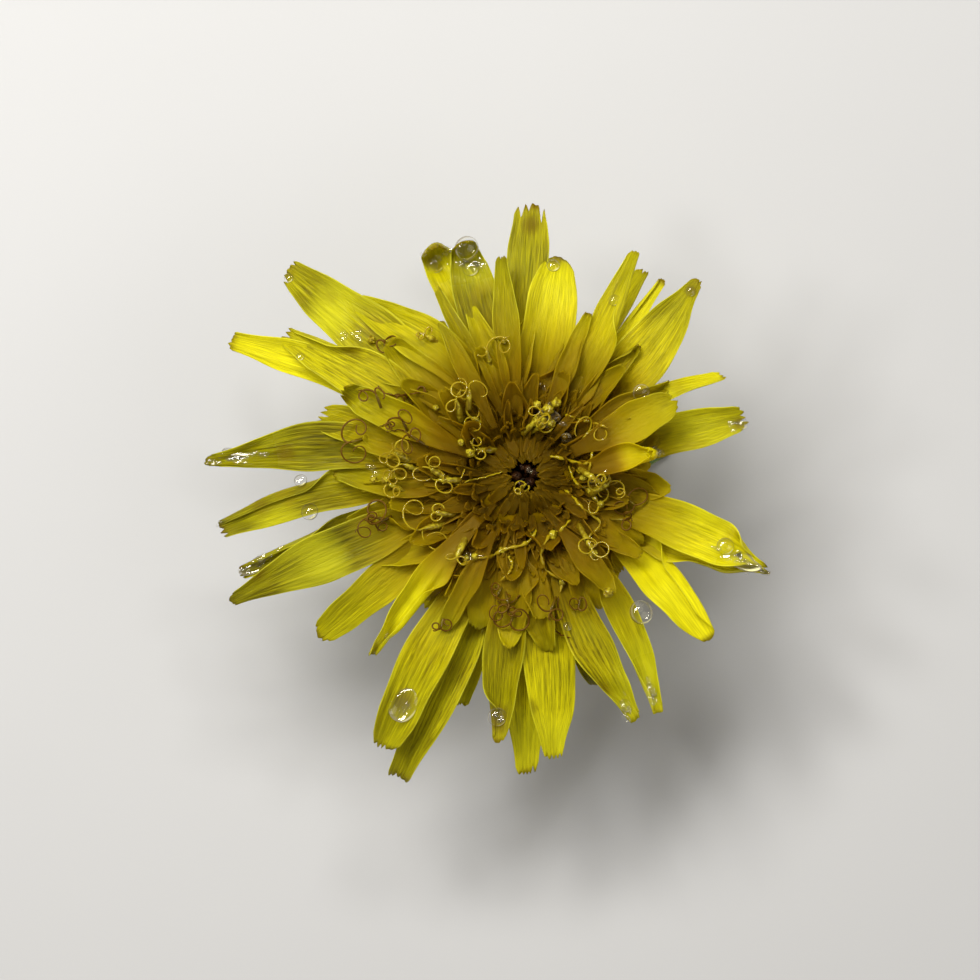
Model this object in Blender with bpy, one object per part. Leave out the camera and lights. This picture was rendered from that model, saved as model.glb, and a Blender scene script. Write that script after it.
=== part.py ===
# A dandelion flower head, picked with a short piece of its hollow stalk, face up.
# Lengths are in millimetres until the meshes are made, and every mesh is in metres.
import math
import random
from collections import namedtuple

import bmesh
import bpy
from mathutils import Vector

MM = 0.001
GAP = 0.35
GOLDEN_ANGLE = 137.508
SEED = 41
SIDES = 20
BLADE_THICK = 0.6

# Share of the triangles that a fused body keeps
BRACTS_KEPT = 0.72
FLORETS_KEPT = 0.74
BUDS_KEPT = 0.72

# Stalk: a hollow tube, cut square
STALK_RADIUS = 1.9
STALK_BORE = 1.15
STALK_TOP = 3.4

# Cup of bracts: outside and inside as (radius, height)
CUP_OUTSIDE = ((0.0, 3.7), (2.3, 3.7), (3.4, 4.3), (4.1, 5.6), (4.5, 7.4), (4.9, 9.2))
CUP_INSIDE = ((4.3, 9.2), (3.9, 7.4), (3.5, 5.9), (2.6, 5.2), (0.0, 5.0))
INNER_BRACTS = 14
INNER_BRACT_WIDTH = 2.2
INNER_BRACT_KEEL = -0.15
BRACT_OVERLAP = 0.27
INNER_BRACT_PATH = ((2.9, 4.2), (4.0, 5.4), (4.5, 7.3), (4.9, 8.9), (5.5, 9.9))
OUTER_BRACTS = 13
OUTER_BRACT_WIDTH = 2.1
OUTER_BRACT_KEEL = 0.12
OUTER_BRACT_PATH = ((3.0, 4.7), (4.7, 4.9), (5.8, 3.9), (6.3, 2.4), (6.8, 0.9))
FOOT_REACH = (7.3, 8.1)
HEEL_SHARE = 0.24
BRACT_SHARES = (0.0, 0.3, 0.6, 0.85)
STANDING_SHARES = (0.0, 0.3, 0.6, 0.95)

# Heart of the head: the florets' tubes packed together, with a socket for the buds
HEART_SIDE = ((0.0, 5.4), (2.2, 5.6), (3.1, 6.15), (3.5, 7.4), (3.9, 9.25), (4.6, 10.0))
HEART_TOP = ((4.7, 10.4), (4.2, 11.0), (2.9, 11.5), (1.9, 11.4))
SOCKET_RADIUS = 1.3
SOCKET_RIM = 11.0
SOCKET_FLOOR = 9.6

# Buds: the dark, unopened florets in the middle
BUD_RING = 8
BUD_RADIUS = 0.92
BUD_TOP = 11.7
BUD_PLACE = 0.58
BUD_RADII = (0.26, 0.3, 0.1)

# Ligules: the strap of one floret each, with the teeth of its five joined petals
ROOT_RADIUS = 3.0
ROOT_HEIGHT = 10.3
ROOT_SHARE = 0.5
TOOTH_DEPTH = 0.4
TOOTH_NECK = 0.3
Ligule = namedtuple(
    "Ligule", "azimuth reach width swing bow level arch drop twist cup tip teeth"
)
# Tip azimuth in degrees, tip reach, width, turn of the root from the tip in degrees, sideways bow
# of the middle, height of the root in its layer, rise of the middle, fall of the tip, twist in
# degrees, lift of the edges, share of the width at the tip, teeth
OUTER_LIGULES = (
    Ligule(88.0, 14.5, 2.3, 3, 0.1, 0.1, 0.8, 0.6, 8, 0.25, 0.65, 5),
    Ligule(80.5, 12.1, 2.8, 2, -0.05, 0.8, 0.8, 0.2, -8, 0.3, 0.75, 3),
    Ligule(63.8, 13.4, 2.1, -4, -0.35, 0.7, 0.9, -0.4, 25, 0.4, 0.5, 3),
    Ligule(59.2, 12.8, 1.8, 3, 0.1, 0.0, 0.6, 0.2, 20, 0.3, 0.65, 3),
    Ligule(55.0, 12.8, 1.3, 0, 0.0, 0.5, 0.7, 0.4, 15, 0.2, 0.6, 3),
    Ligule(49.0, 13.9, 2.9, -2, -0.4, 0.3, 0.9, -0.6, -6, 0.3, 0.4, 3),
    Ligule(26.7, 11.9, 1.4, 12, 0.45, 0.4, 0.8, -0.6, 50, 0.2, 0.5, 3),
    Ligule(15.8, 12.2, 2.3, 5, 0.1, 0.0, 0.6, -0.8, -10, 0.25, 0.8, 5),
    Ligule(10.0, 7.6, 1.6, -6, -0.2, 2.2, 0.8, -0.6, 20, 0.5, 0.6, 3),
    Ligule(-17.5, 13.2, 2.6, 3, 0.15, 0.8, 0.9, -0.6, 8, 0.3, 0.5, 3),
    Ligule(-20.7, 13.8, 2.5, -2, 0.05, 0.2, 0.8, -0.4, -6, 0.3, 0.45, 3),
    Ligule(-41.3, 12.9, 2.2, 18, 0.45, 0.2, 0.9, -0.6, 6, 0.35, 0.7, 5),
    Ligule(-60.3, 14.1, 1.7, 18, 0.6, 0.6, 0.9, 0.4, 20, 0.4, 0.6, 3),
    Ligule(-64.4, 13.9, 2.5, 2, -0.5, 0.9, 0.8, 0.8, 10, 0.35, 0.4, 3),
    Ligule(-70.0, 12.1, 1.6, 4, 0.0, 0.1, 0.6, 1.4, -20, 0.3, 0.6, 3),
    Ligule(-84.2, 14.8, 2.8, 4, 0.4, 0.6, 0.8, 1.4, 8, 0.3, 0.55, 5),
    Ligule(-88.9, 15.5, 2.5, 0, 0.0, 0.1, 0.7, 1.8, 5, 0.25, 0.6, 5),
    Ligule(-95.1, 13.8, 2.3, 0, -0.15, 0.9, 0.8, 1.4, -10, 0.35, 0.65, 3),
    Ligule(-105.1, 12.4, 1.5, 2, 0.0, 0.1, 0.6, 1.6, -10, 0.2, 0.7, 3),
    Ligule(-112.5, 17.3, 2.4, 3, 0.2, 0.1, 0.8, 2.4, -8, 0.3, 0.7, 5),
    Ligule(-117.3, 16.2, 2.6, 4, -0.35, 0.9, 0.9, 2.0, 6, 0.35, 0.8, 5),
    Ligule(-130.2, 12.4, 2.0, -8, -0.2, 2.0, 0.6, 1.4, 40, 0.3, 0.4, 3),
    Ligule(-142.0, 13.6, 2.1, 0, -0.3, 0.8, 0.8, 1.6, 4, 0.25, 0.85, 5),
    Ligule(-157.3, 16.9, 2.8, -4, -0.2, 0.9, 0.9, 2.0, 4, 0.35, 0.8, 5),
    Ligule(-161.6, 15.7, 1.8, 0, -0.4, 0.1, 0.6, 2.0, 10, 0.2, 0.7, 3),
    Ligule(-170.1, 16.4, 2.35, -8, -1.0, 0.5, 0.9, 1.8, -8, 0.3, 0.7, 5),
    Ligule(177.6, 16.7, 2.6, -8, -1.15, 0.9, 0.9, 1.8, 8, 0.3, 0.5, 5),
    Ligule(162.8, 11.2, 2.2, -2, 0.0, 1.6, 0.8, 1.0, -6, 0.3, 0.85, 5),
    Ligule(152.4, 10.9, 1.9, 0, 0.1, 1.9, 0.7, 0.2, 15, 0.35, 0.8, 3),
    Ligule(154.9, 17.1, 2.1, -6, -0.9, 0.2, 0.7, 1.8, 10, 0.25, 0.7, 3),
    Ligule(148.6, 14.8, 2.7, -3, -0.3, 0.9, 0.8, 1.6, -4, 0.3, 0.7, 5),
    Ligule(138.5, 16.8, 3.1, -2, -0.4, 0.4, 0.9, 1.8, 6, 0.35, 0.65, 5),
    Ligule(111.8, 13.8, 2.2, -14, -0.4, 0.2, 0.7, 1.4, 15, 0.3, 0.9, 3),
    Ligule(104.1, 13.1, 2.5, 0, 0.0, 0.7, 0.8, 1.0, -8, 0.3, 0.7, 3),
    Ligule(113.8, 11.0, 1.0, -10, 0.0, 1.5, 0.6, 0.8, 20, 0.2, 0.7, 3),
    Ligule(95.1, 11.7, 1.6, 0, 0.1, 1.4, 0.7, 0.4, 10, 0.35, 0.6, 3),
    Ligule(68.7, 9.4, 1.15, 0, 0.0, 1.6, 0.6, 0.2, -15, 0.25, 0.7, 3),
    Ligule(26.9, 9.2, 2.1, 2, 0.0, 1.7, 0.7, 0.0, 8, 0.3, 0.85, 5),
    Ligule(-118.0, 8.95, 1.25, 0, 0.0, 2.0, 0.6, 0.4, 10, 0.25, 0.8, 3),
    Ligule(-51.5, 7.8, 1.5, 0, 0.0, 2.0, 0.6, 0.0, 15, 0.4, 0.6, 3),
    Ligule(117.5, 9.3, 1.1, 0, 0.0, 1.9, 0.6, 0.2, -10, 0.25, 0.6, 3),
    Ligule(134.0, 13.0, 2.5, -34, -0.7, 1.1, 0.8, 1.2, 5, 0.3, 0.6, 5),
)
INNER_LIGULES = 24
INNER_REACH = (8.4, 4.4)
INNER_ROOT = (2.9, 1.9)
INNER_HEIGHT = (10.7, 10.9)
INNER_RISE = (1.6, 2.6)
INNER_WIDTH = (1.4, 1.9)

# Styles: the pollen-covered rod of a floret, which ends in two curled branches
STYLE_RADIUS = 0.26
STYLE_ROOT = 10.8
STYLE_TOP = 12.9
CURL_THREAD = 0.15
CURL_RADIUS = 0.42
CURL_STEPS = 7
CURL_ADVANCE = 0.11
# Azimuth in degrees and reach of each rod's end
STYLES = (
    (131, 8.2),
    (106, 7.0),
    (168, 7.2),
    (150, 5.0),
    (193, 7.4),
    (205, 5.2),
    (224, 7.6),
    (252, 3.9),
    (265, 6.9),
    (292, 4.2),
    (302, 7.4),
    (333, 4.6),
    (16, 3.9),
    (42, 5.2),
    (76, 3.8),
)

UP = Vector((0.0, 0.0, 1.0))


def clear_scene():
    for item in list(bpy.data.objects):
        bpy.data.objects.remove(item, do_unlink=True)


def make_material(name, colour, roughness):
    material = bpy.data.materials.new(name)
    material.use_nodes = True
    shader = material.node_tree.nodes["Principled BSDF"]
    shader.inputs["Base Color"].default_value = (*colour, 1.0)
    shader.inputs["Roughness"].default_value = roughness
    shader.inputs["Metallic"].default_value = 0.0
    return material


def make_object(name, points, faces, material=None, collection=None):
    mesh = bpy.data.meshes.new(name)
    mesh.from_pydata([tuple(point * MM) for point in points], [], faces)
    mesh.validate()
    item = bpy.data.objects.new(name, mesh)
    (collection or bpy.context.scene.collection).objects.link(item)
    if material:
        mesh.materials.append(material)
    return item


def spread(ends, share):
    return ends[0] + (ends[1] - ends[0]) * share


def smooth_step(start, end, value):
    share = min(max((value - start) / (end - start), 0.0), 1.0)
    return share * share * (3.0 - 2.0 * share)


def direction(azimuth):
    angle = math.radians(azimuth)
    return Vector((math.cos(angle), math.sin(angle), 0.0))


def turned(name, profile, material=None, collection=None):
    """A solid of revolution; the profile runs from the axis below to the axis above."""
    points = []
    rings = []
    for radius, height in profile:
        if radius == 0.0:
            rings.append([len(points)] * SIDES)
            points.append(UP * height)
            continue
        rings.append([len(points) + side for side in range(SIDES)])
        points.extend(direction(360.0 * side / SIDES) * radius + UP * height for side in range(SIDES))
    faces = []
    for lower, upper in zip(rings, rings[1:]):
        for side in range(SIDES):
            after = (side + 1) % SIDES
            corners = (lower[side], lower[after], upper[after], upper[side])
            faces.append(tuple(dict.fromkeys(corners)))
    return make_object(name, points, faces, material, collection)


class Sheet:
    """An open sheet of triangles, which becomes a closed blade of even thickness."""

    def __init__(self):
        self.points = []
        self.normals = []
        self.faces = []

    def row(self, middle, side, normal, half_width, lift, places=(-1.0, 0.0, 1.0)):
        first = len(self.points)
        for place in places:
            self.points.append(middle + side * (half_width * place) + normal * (lift * abs(place)))
            self.normals.append(normal)
        return list(range(first, first + len(places)))

    def strip(self, near, far):
        for index in range(len(near) - 1):
            self.faces.append((near[index], near[index + 1], far[index + 1]))
            self.faces.append((near[index], far[index + 1], far[index]))

    def closed(self, name, thickness, collection):
        count = len(self.points)
        upper = [p + n * (thickness / 2) for p, n in zip(self.points, self.normals)]
        lower = [p - n * (thickness / 2) for p, n in zip(self.points, self.normals)]
        below = [(a + count, c + count, b + count) for a, b, c in self.faces]
        edges = {(face[i], face[(i + 1) % 3]) for face in self.faces for i in range(3)}
        walls = []
        for a, b in sorted(edges):
            if (b, a) not in edges:
                walls.append((b, a, a + count))
                walls.append((b, a + count, b + count))
        return make_object(name, upper + lower, self.faces + below + walls, None, collection)


def ligule_point(leaf, root_radius, share):
    """The middle of a ligule at a share of its length, from the root at 0 to the tip at 1."""
    root = direction(leaf.azimuth + leaf.swing) * root_radius
    tip = direction(leaf.azimuth) * leaf.reach
    left = UP.cross(tip - root).normalized()
    hump = 4.0 * share * (1.0 - share)
    height = ROOT_HEIGHT + leaf.level + leaf.arch * hump - leaf.drop * share * share
    return root.lerp(tip, share) + left * (leaf.bow * hump) + UP * height


def ligule_frame(leaf, root_radius, share):
    step = 0.02
    middle = ligule_point(leaf, root_radius, share)
    ahead = ligule_point(leaf, root_radius, share + step)
    behind = ligule_point(leaf, root_radius, share - step)
    forward = (ahead - behind).normalized()
    side = forward.cross(UP).normalized()
    normal = side.cross(forward)
    turn = math.radians(leaf.twist) * smooth_step(0.15, 0.9, share)
    return (
        middle,
        side * math.cos(turn) + normal * math.sin(turn),
        normal * math.cos(turn) - side * math.sin(turn),
    )


def ligule_half_width(leaf, share):
    grown = ROOT_SHARE + (1.0 - ROOT_SHARE) * smooth_step(0.0, 0.5, share)
    narrowed = 1.0 - (1.0 - leaf.tip) * smooth_step(0.55, 1.0, share)
    return leaf.width / 2 * grown * narrowed


def toothed_end(sheet, leaf, root_radius, last_row):
    """Closes a ligule with its teeth: notches between them, and a triangle for each tooth."""
    length = leaf.reach - root_radius
    teeth = [-1.0 + 2.0 * tooth / (leaf.teeth - 1) for tooth in range(leaf.teeth)]
    notches = [(left + right) / 2 for left, right in zip(teeth, teeth[1:])]
    notch_share = 1.0 - TOOTH_DEPTH / length
    half = ligule_half_width(leaf, 1.0)
    middle, side, normal = ligule_frame(leaf, root_radius, notch_share)
    notch_row = sheet.row(middle, side, normal, half, leaf.cup, notches)
    middle, side, normal = ligule_frame(leaf, root_radius, 1.0)
    tooth_row = sheet.row(middle, side, normal, half, leaf.cup, teeth)
    left, centre, right = last_row
    half_way = len(notches) // 2
    for index in range(len(notches) - 1):
        near = left if index < half_way - 1 else centre if index == half_way - 1 else right
        sheet.faces.append((near, notch_row[index + 1], notch_row[index]))
        sheet.faces.append((notch_row[index], notch_row[index + 1], tooth_row[index + 1]))
    sheet.faces.append((left, centre, notch_row[half_way - 1]))
    sheet.faces.append((centre, right, notch_row[half_way]))
    sheet.faces.append((left, notch_row[0], tooth_row[0]))
    sheet.faces.append((right, tooth_row[-1], notch_row[-1]))


def make_ligule(name, leaf, root_radius, rings, collection):
    sheet = Sheet()
    rows = []
    neck = 1.0 - (TOOTH_DEPTH + TOOTH_NECK) / (leaf.reach - root_radius)
    for ring in range(rings):
        share = neck * ring / (rings - 1)
        middle, side, normal = ligule_frame(leaf, root_radius, share)
        rows.append(sheet.row(middle, side, normal, ligule_half_width(leaf, share), leaf.cup))
    for near, far in zip(rows, rows[1:]):
        sheet.strip(near, far)
    toothed_end(sheet, leaf, root_radius, rows[-1])
    return sheet.closed(name, BLADE_THICK, collection)


def inner_ligule(index, draw):
    """One of the shorter ligules that fill the head, the inner ones shorter and steeper."""
    inward = index / (INNER_LIGULES - 1)
    rise = spread(INNER_RISE, inward) + draw.uniform(-0.3, 0.3)
    return Ligule(
        azimuth=index * GOLDEN_ANGLE + draw.uniform(-7.0, 7.0),
        reach=spread(INNER_REACH, inward) + draw.uniform(-0.6, 0.6),
        width=draw.uniform(*INNER_WIDTH),
        swing=draw.uniform(-6.0, 6.0),
        bow=draw.uniform(-0.2, 0.2),
        level=spread(INNER_HEIGHT, inward) - ROOT_HEIGHT,
        arch=0.3,
        drop=-rise,
        twist=draw.uniform(-25.0, 25.0),
        cup=draw.uniform(0.25, 0.45),
        tip=draw.uniform(0.6, 0.85),
        teeth=3,
    )


def tube(name, path, radii, sides, collection):
    """A closed tube along a list of points, with a radius at each."""
    points = []
    forward = (path[1] - path[0]).normalized()
    across = forward.orthogonal().normalized()
    for index, middle in enumerate(path):
        before = path[max(index - 1, 0)]
        after = path[min(index + 1, len(path) - 1)]
        forward = (after - before).normalized()
        across = (across - forward * across.dot(forward)).normalized()
        upright = forward.cross(across)
        for side in range(sides):
            angle = 2.0 * math.pi * side / sides
            ray = across * math.cos(angle) + upright * math.sin(angle)
            points.append(middle + ray * radii[index])
    faces = [tuple(reversed(range(sides)))]
    for ring in range(len(path) - 1):
        for side in range(sides):
            after = (side + 1) % sides
            near = ring * sides
            far = near + sides
            faces.append((near + side, near + after, far + after))
            faces.append((near + side, far + after, far + side))
    faces.append(tuple(range(len(points) - sides, len(points))))
    return make_object(name, points, faces, None, collection)


def make_style(name, azimuth, reach, draw, collection):
    """A leaning rod with its two branches, each curled back through one turn."""
    outward = direction(azimuth)
    sideways = UP.cross(outward)
    root = outward * spread(INNER_ROOT, 0.6) + UP * STYLE_ROOT
    end = outward * reach + UP * (STYLE_TOP + draw.uniform(-0.3, 0.5))
    bend = root.lerp(end, 0.5) + UP * 0.5
    tube(name + "_rod", [root, bend, end], [STYLE_RADIUS] * 3, 4, collection)
    for hand in (-1.0, 1.0):
        path = [end - (end - bend).normalized() * 0.2]
        for step in range(CURL_STEPS):
            angle = math.radians(20.0 + 52.0 * step)
            swing = sideways * hand * (1.0 - math.cos(angle)) + UP * math.sin(angle)
            path.append(end + swing * CURL_RADIUS + outward * (CURL_ADVANCE * step))
        tube(f"{name}_curl_{hand:+.0f}", path, [CURL_THREAD] * len(path), 3, collection)


def fuse(core, pieces, kept):
    """Joins the pieces to the core, and leaves one closed body without scraps or sealed hollows.

    The union leaves slivers where blades cross, so it is thinned to the share of triangles kept.
    """
    union = core.modifiers.new("union", "BOOLEAN")
    union.operation = "UNION"
    union.operand_type = "COLLECTION"
    union.collection = pieces
    union.solver = "MANIFOLD"
    apply_modifiers(core)
    for item in list(pieces.objects):
        bpy.data.objects.remove(item, do_unlink=True)
    bpy.data.collections.remove(pieces)
    keep_main_body(core.data)
    thinning = core.modifiers.new("thinning", "DECIMATE")
    thinning.ratio = kept
    apply_modifiers(core)


def apply_modifiers(item):
    evaluated = item.evaluated_get(bpy.context.evaluated_depsgraph_get())
    applied = bpy.data.meshes.new_from_object(evaluated)
    item.modifiers.clear()
    item.data = applied


def keep_main_body(mesh):
    sculpt = bmesh.new()
    sculpt.from_mesh(mesh)
    bmesh.ops.triangulate(sculpt, faces=sculpt.faces)
    unseen = set(sculpt.verts)
    bodies = []
    while unseen:
        body = {unseen.pop()}
        edge_of_body = list(body)
        while edge_of_body:
            vert = edge_of_body.pop()
            for edge in vert.link_edges:
                other = edge.other_vert(vert)
                if other in unseen:
                    unseen.discard(other)
                    body.add(other)
                    edge_of_body.append(other)
        bodies.append(body)
    main = max(bodies, key=len)
    scraps = [vert for body in bodies if body is not main for vert in body]
    bmesh.ops.delete(sculpt, geom=scraps, context="VERTS")
    sculpt.to_mesh(mesh)
    sculpt.free()


def new_pieces(name):
    pieces = bpy.data.collections.new(name)
    bpy.context.scene.collection.children.link(pieces)
    return pieces


def make_scape():
    profile = (
        (STALK_BORE, 0.0),
        (STALK_RADIUS, 0.0),
        (STALK_RADIUS, STALK_TOP),
        (STALK_BORE, STALK_TOP),
        (STALK_BORE, 0.0),
    )
    scape = turned("scape", profile, make_material("pale_stalk", (0.42, 0.44, 0.16), 0.45))
    sculpt = bmesh.new()
    sculpt.from_mesh(scape.data)
    bmesh.ops.remove_doubles(sculpt, verts=sculpt.verts, dist=0.01 * MM)
    sculpt.to_mesh(scape.data)
    sculpt.free()
    return scape


def plane_point(path, share):
    """A point on a smooth curve through (radius, height) points."""
    place = min(max(share, 0.0), 1.0) * (len(path) - 1)
    index = min(int(place), len(path) - 2)
    part = place - index
    before = Vector(path[max(index - 1, 0)])
    start = Vector(path[index])
    end = Vector(path[index + 1])
    after = Vector(path[min(index + 2, len(path) - 1)])
    bend = (
        start * 2.0
        + (end - before) * part
        + (before * 2.0 - start * 5.0 + end * 4.0 - after) * part**2
        + (start * 3.0 - before - end * 3.0 + after) * part**3
    )
    return bend * 0.5


def make_bract(name, azimuth, path, size, shares, foot, collection):
    """A lance-shaped green bract along a curve in the upright plane through the axis."""
    width, keel = size
    outward = direction(azimuth)
    side = outward.cross(UP)
    sheet = Sheet()
    rows = []
    for share in shares:
        radius, height = plane_point(path, share)
        ahead = plane_point(path, share + 0.02) - plane_point(path, share - 0.02)
        forward = (outward * ahead.x + UP * ahead.y).normalized()
        normal = side.cross(forward)
        half = width / 2 * (1.0 - 0.75 * smooth_step(0.15, 1.1, share))
        rows.append(sheet.row(outward * radius + UP * height, side, normal, half, keel))
    if foot:
        level = UP * (BLADE_THICK / 2)
        heel = width * HEEL_SHARE
        rows.append(sheet.row(outward * foot[0] + level, side, UP, heel, 0.0))
    tip_radius, tip_height = (foot[1], BLADE_THICK / 2) if foot else plane_point(path, 1.0)
    sheet.points.append(outward * tip_radius + UP * tip_height)
    sheet.normals.append(UP if foot else sheet.normals[-1])
    tip = len(sheet.points) - 1
    for near, far in zip(rows, rows[1:]):
        sheet.strip(near, far)
    left, centre, right = rows[-1]
    sheet.faces.append((left, centre, tip))
    sheet.faces.append((centre, right, tip))
    return sheet.closed(name, BLADE_THICK, collection)


def make_involucre():
    involucre = turned(
        "involucre", CUP_OUTSIDE + CUP_INSIDE, make_material("bract_green", (0.12, 0.2, 0.05), 0.55)
    )
    draw = random.Random(SEED)
    bracts = new_pieces("bracts")
    for index in range(INNER_BRACTS):
        azimuth = 360.0 * index / INNER_BRACTS + draw.uniform(-3.0, 3.0)
        outward = BRACT_OVERLAP * (index % 2)
        path = [(radius + outward, height) for radius, height in INNER_BRACT_PATH]
        size = (INNER_BRACT_WIDTH, INNER_BRACT_KEEL)
        make_bract(f"inner_{index}", azimuth, path, size, BRACT_SHARES, None, bracts)
    for index in range(OUTER_BRACTS):
        azimuth = 360.0 * (index + 0.5) / OUTER_BRACTS + draw.uniform(-5.0, 5.0)
        stands = index % 2 == 0
        shares = STANDING_SHARES if stands else BRACT_SHARES
        size = (OUTER_BRACT_WIDTH * draw.uniform(0.9, 1.1), OUTER_BRACT_KEEL)
        foot = FOOT_REACH if stands else None
        make_bract(f"outer_{index}", azimuth, OUTER_BRACT_PATH, size, shares, foot, bracts)
    fuse(involucre, bracts, BRACTS_KEPT)
    return involucre


def make_florets():
    socket = (
        (SOCKET_RADIUS + 0.2, SOCKET_RIM + 0.2),
        (SOCKET_RADIUS, SOCKET_RIM),
        (SOCKET_RADIUS, SOCKET_FLOOR),
        (0.0, SOCKET_FLOOR),
    )
    yellow = make_material("petal_yellow", (0.6, 0.5, 0.02), 0.35)
    florets = turned("florets", HEART_SIDE + HEART_TOP + socket, yellow)
    draw = random.Random(SEED)
    pieces = new_pieces("floret_pieces")
    for index, leaf in enumerate(OUTER_LIGULES):
        make_ligule(f"outer_{index}", leaf, ROOT_RADIUS, 4, pieces)
    for index in range(INNER_LIGULES):
        leaf = inner_ligule(index, draw)
        root = spread(INNER_ROOT, index / (INNER_LIGULES - 1))
        make_ligule(f"inner_{index}", leaf, root, 3, pieces)
    for index, (azimuth, reach) in enumerate(STYLES):
        make_style(f"style_{index}", azimuth, reach, draw, pieces)
    fuse(florets, pieces, FLORETS_KEPT)
    return florets


def make_bud(name, middle, lean, draw, collection):
    base = middle + UP * (SOCKET_FLOOR + GAP + 0.2)
    top = middle * 0.8 + lean + UP * (BUD_TOP - draw.uniform(0.0, 0.3))
    path = [base, base.lerp(top, 0.6), top]
    tube(name, path, BUD_RADII, 5, collection)


def make_central_buds():
    floor = SOCKET_FLOOR + GAP
    dark = make_material("bud_brown", (0.05, 0.03, 0.01), 0.4)
    base = ((0.0, floor), (BUD_RADIUS, floor), (BUD_RADIUS - 0.1, floor + 0.5), (0.0, floor + 0.6))
    buds = turned("central_buds", base, dark)
    draw = random.Random(SEED)
    pieces = new_pieces("bud_pieces")
    make_bud("bud_middle", Vector((0.0, 0.0, 0.0)), Vector((0.05, 0.03, 0.0)), draw, pieces)
    for index in range(BUD_RING):
        outward = direction(360.0 * index / BUD_RING + draw.uniform(-6.0, 6.0))
        make_bud(f"bud_{index}", outward * BUD_PLACE, outward * -0.1, draw, pieces)
    fuse(buds, pieces, BUDS_KEPT)
    return buds


def stand_on_origin(nodes):
    """Moves the whole head so that the middle of its underside is at the origin."""
    corners = [item.matrix_world @ vert.co for item in nodes for vert in item.data.vertices]
    lowest = Vector([min(corner[axis] for corner in corners) for axis in range(3)])
    highest = Vector([max(corner[axis] for corner in corners) for axis in range(3)])
    middle = (lowest + highest) / 2
    holder = bpy.data.objects.new("head", None)
    bpy.context.scene.collection.objects.link(holder)
    holder.location = (-middle.x, -middle.y, -lowest.z)
    for item in nodes:
        item.parent = holder


def main():
    clear_scene()
    nodes = [make_scape(), make_involucre(), make_florets(), make_central_buds()]
    for item in nodes:
        item.data.shade_smooth()
        item.data.set_sharp_from_angle(angle=math.radians(30.0))
    stand_on_origin(nodes)


main()
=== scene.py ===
# The looks of a dandelion flower head: fine ligules, curled styles, buds, bracts, stalk and dew.
import math
import random
from collections import namedtuple

import bpy
import numpy as np
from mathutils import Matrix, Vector
from mathutils.bvhtree import BVHTree


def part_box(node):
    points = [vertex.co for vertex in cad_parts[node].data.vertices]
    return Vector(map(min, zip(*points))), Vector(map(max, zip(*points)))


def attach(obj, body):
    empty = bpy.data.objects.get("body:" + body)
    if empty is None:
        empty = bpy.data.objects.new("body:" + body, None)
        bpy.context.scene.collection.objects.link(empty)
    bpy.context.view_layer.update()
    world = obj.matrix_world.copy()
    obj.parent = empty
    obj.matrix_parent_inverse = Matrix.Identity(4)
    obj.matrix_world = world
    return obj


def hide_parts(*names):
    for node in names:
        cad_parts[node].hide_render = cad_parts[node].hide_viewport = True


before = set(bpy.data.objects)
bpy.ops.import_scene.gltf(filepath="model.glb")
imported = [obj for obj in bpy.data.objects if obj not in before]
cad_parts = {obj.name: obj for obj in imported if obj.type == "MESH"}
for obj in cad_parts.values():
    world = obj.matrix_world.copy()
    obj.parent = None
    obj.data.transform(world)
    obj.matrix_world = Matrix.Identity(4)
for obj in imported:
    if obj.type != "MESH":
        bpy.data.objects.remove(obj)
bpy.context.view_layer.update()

# Sizes are in millimetres about the head's axis, as in the part's source, and become metres
# when a piece is made.
MM = 0.001
GOLDEN_ANGLE = 137.508
SEED = 41
stalk_low, stalk_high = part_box("scape")
AXIS = np.array([(stalk_low[0] + stalk_high[0]) / 2, (stalk_low[1] + stalk_high[1]) / 2, 0.0])
UP = np.array([0.0, 0.0, 1.0])

# The photograph: where the head's axis shows in it, and the size of one of its pixels
PHOTO_SIDE = 980
PHOTO_AXIS = (522, 480)
PIXEL = 0.052

# Ligules
ROOT_RADIUS = 3.0
ROOT_HEIGHT = 10.3
ROOT_SHARE = 0.3
# Share of a ligule's length where its tip starts to bend, and the distance from the axis, in
# millimetres, that counts as 1 in its material
CURL_START = 0.78
REACH_UNIT = 16.0
FOLD_CHANCE = 0.3
# Rows and columns of the blades' grids
OUTER_GRID = (48, 37)
INNER_GRID = (28, 21)
UPPER_GRID = (40, 27)
FILL_GRID = (21, 15)
YOUNG_GRID = (16, 9)
BRACT_GRID = (26, 11)
PETAL_FIELDS = ("along", "across", "reach", "tint", "stripe", "shine", "wet", "dark")
GREEN_FIELDS = ("along", "across", "tint")
Traits = namedtuple("Traits", "curl roll stripe shine wet fold", defaults=(1.0, 0.0, None))
Ligule = namedtuple("Ligule", "azimuth reach width swing bow level arch drop twist cup tip")
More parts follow.
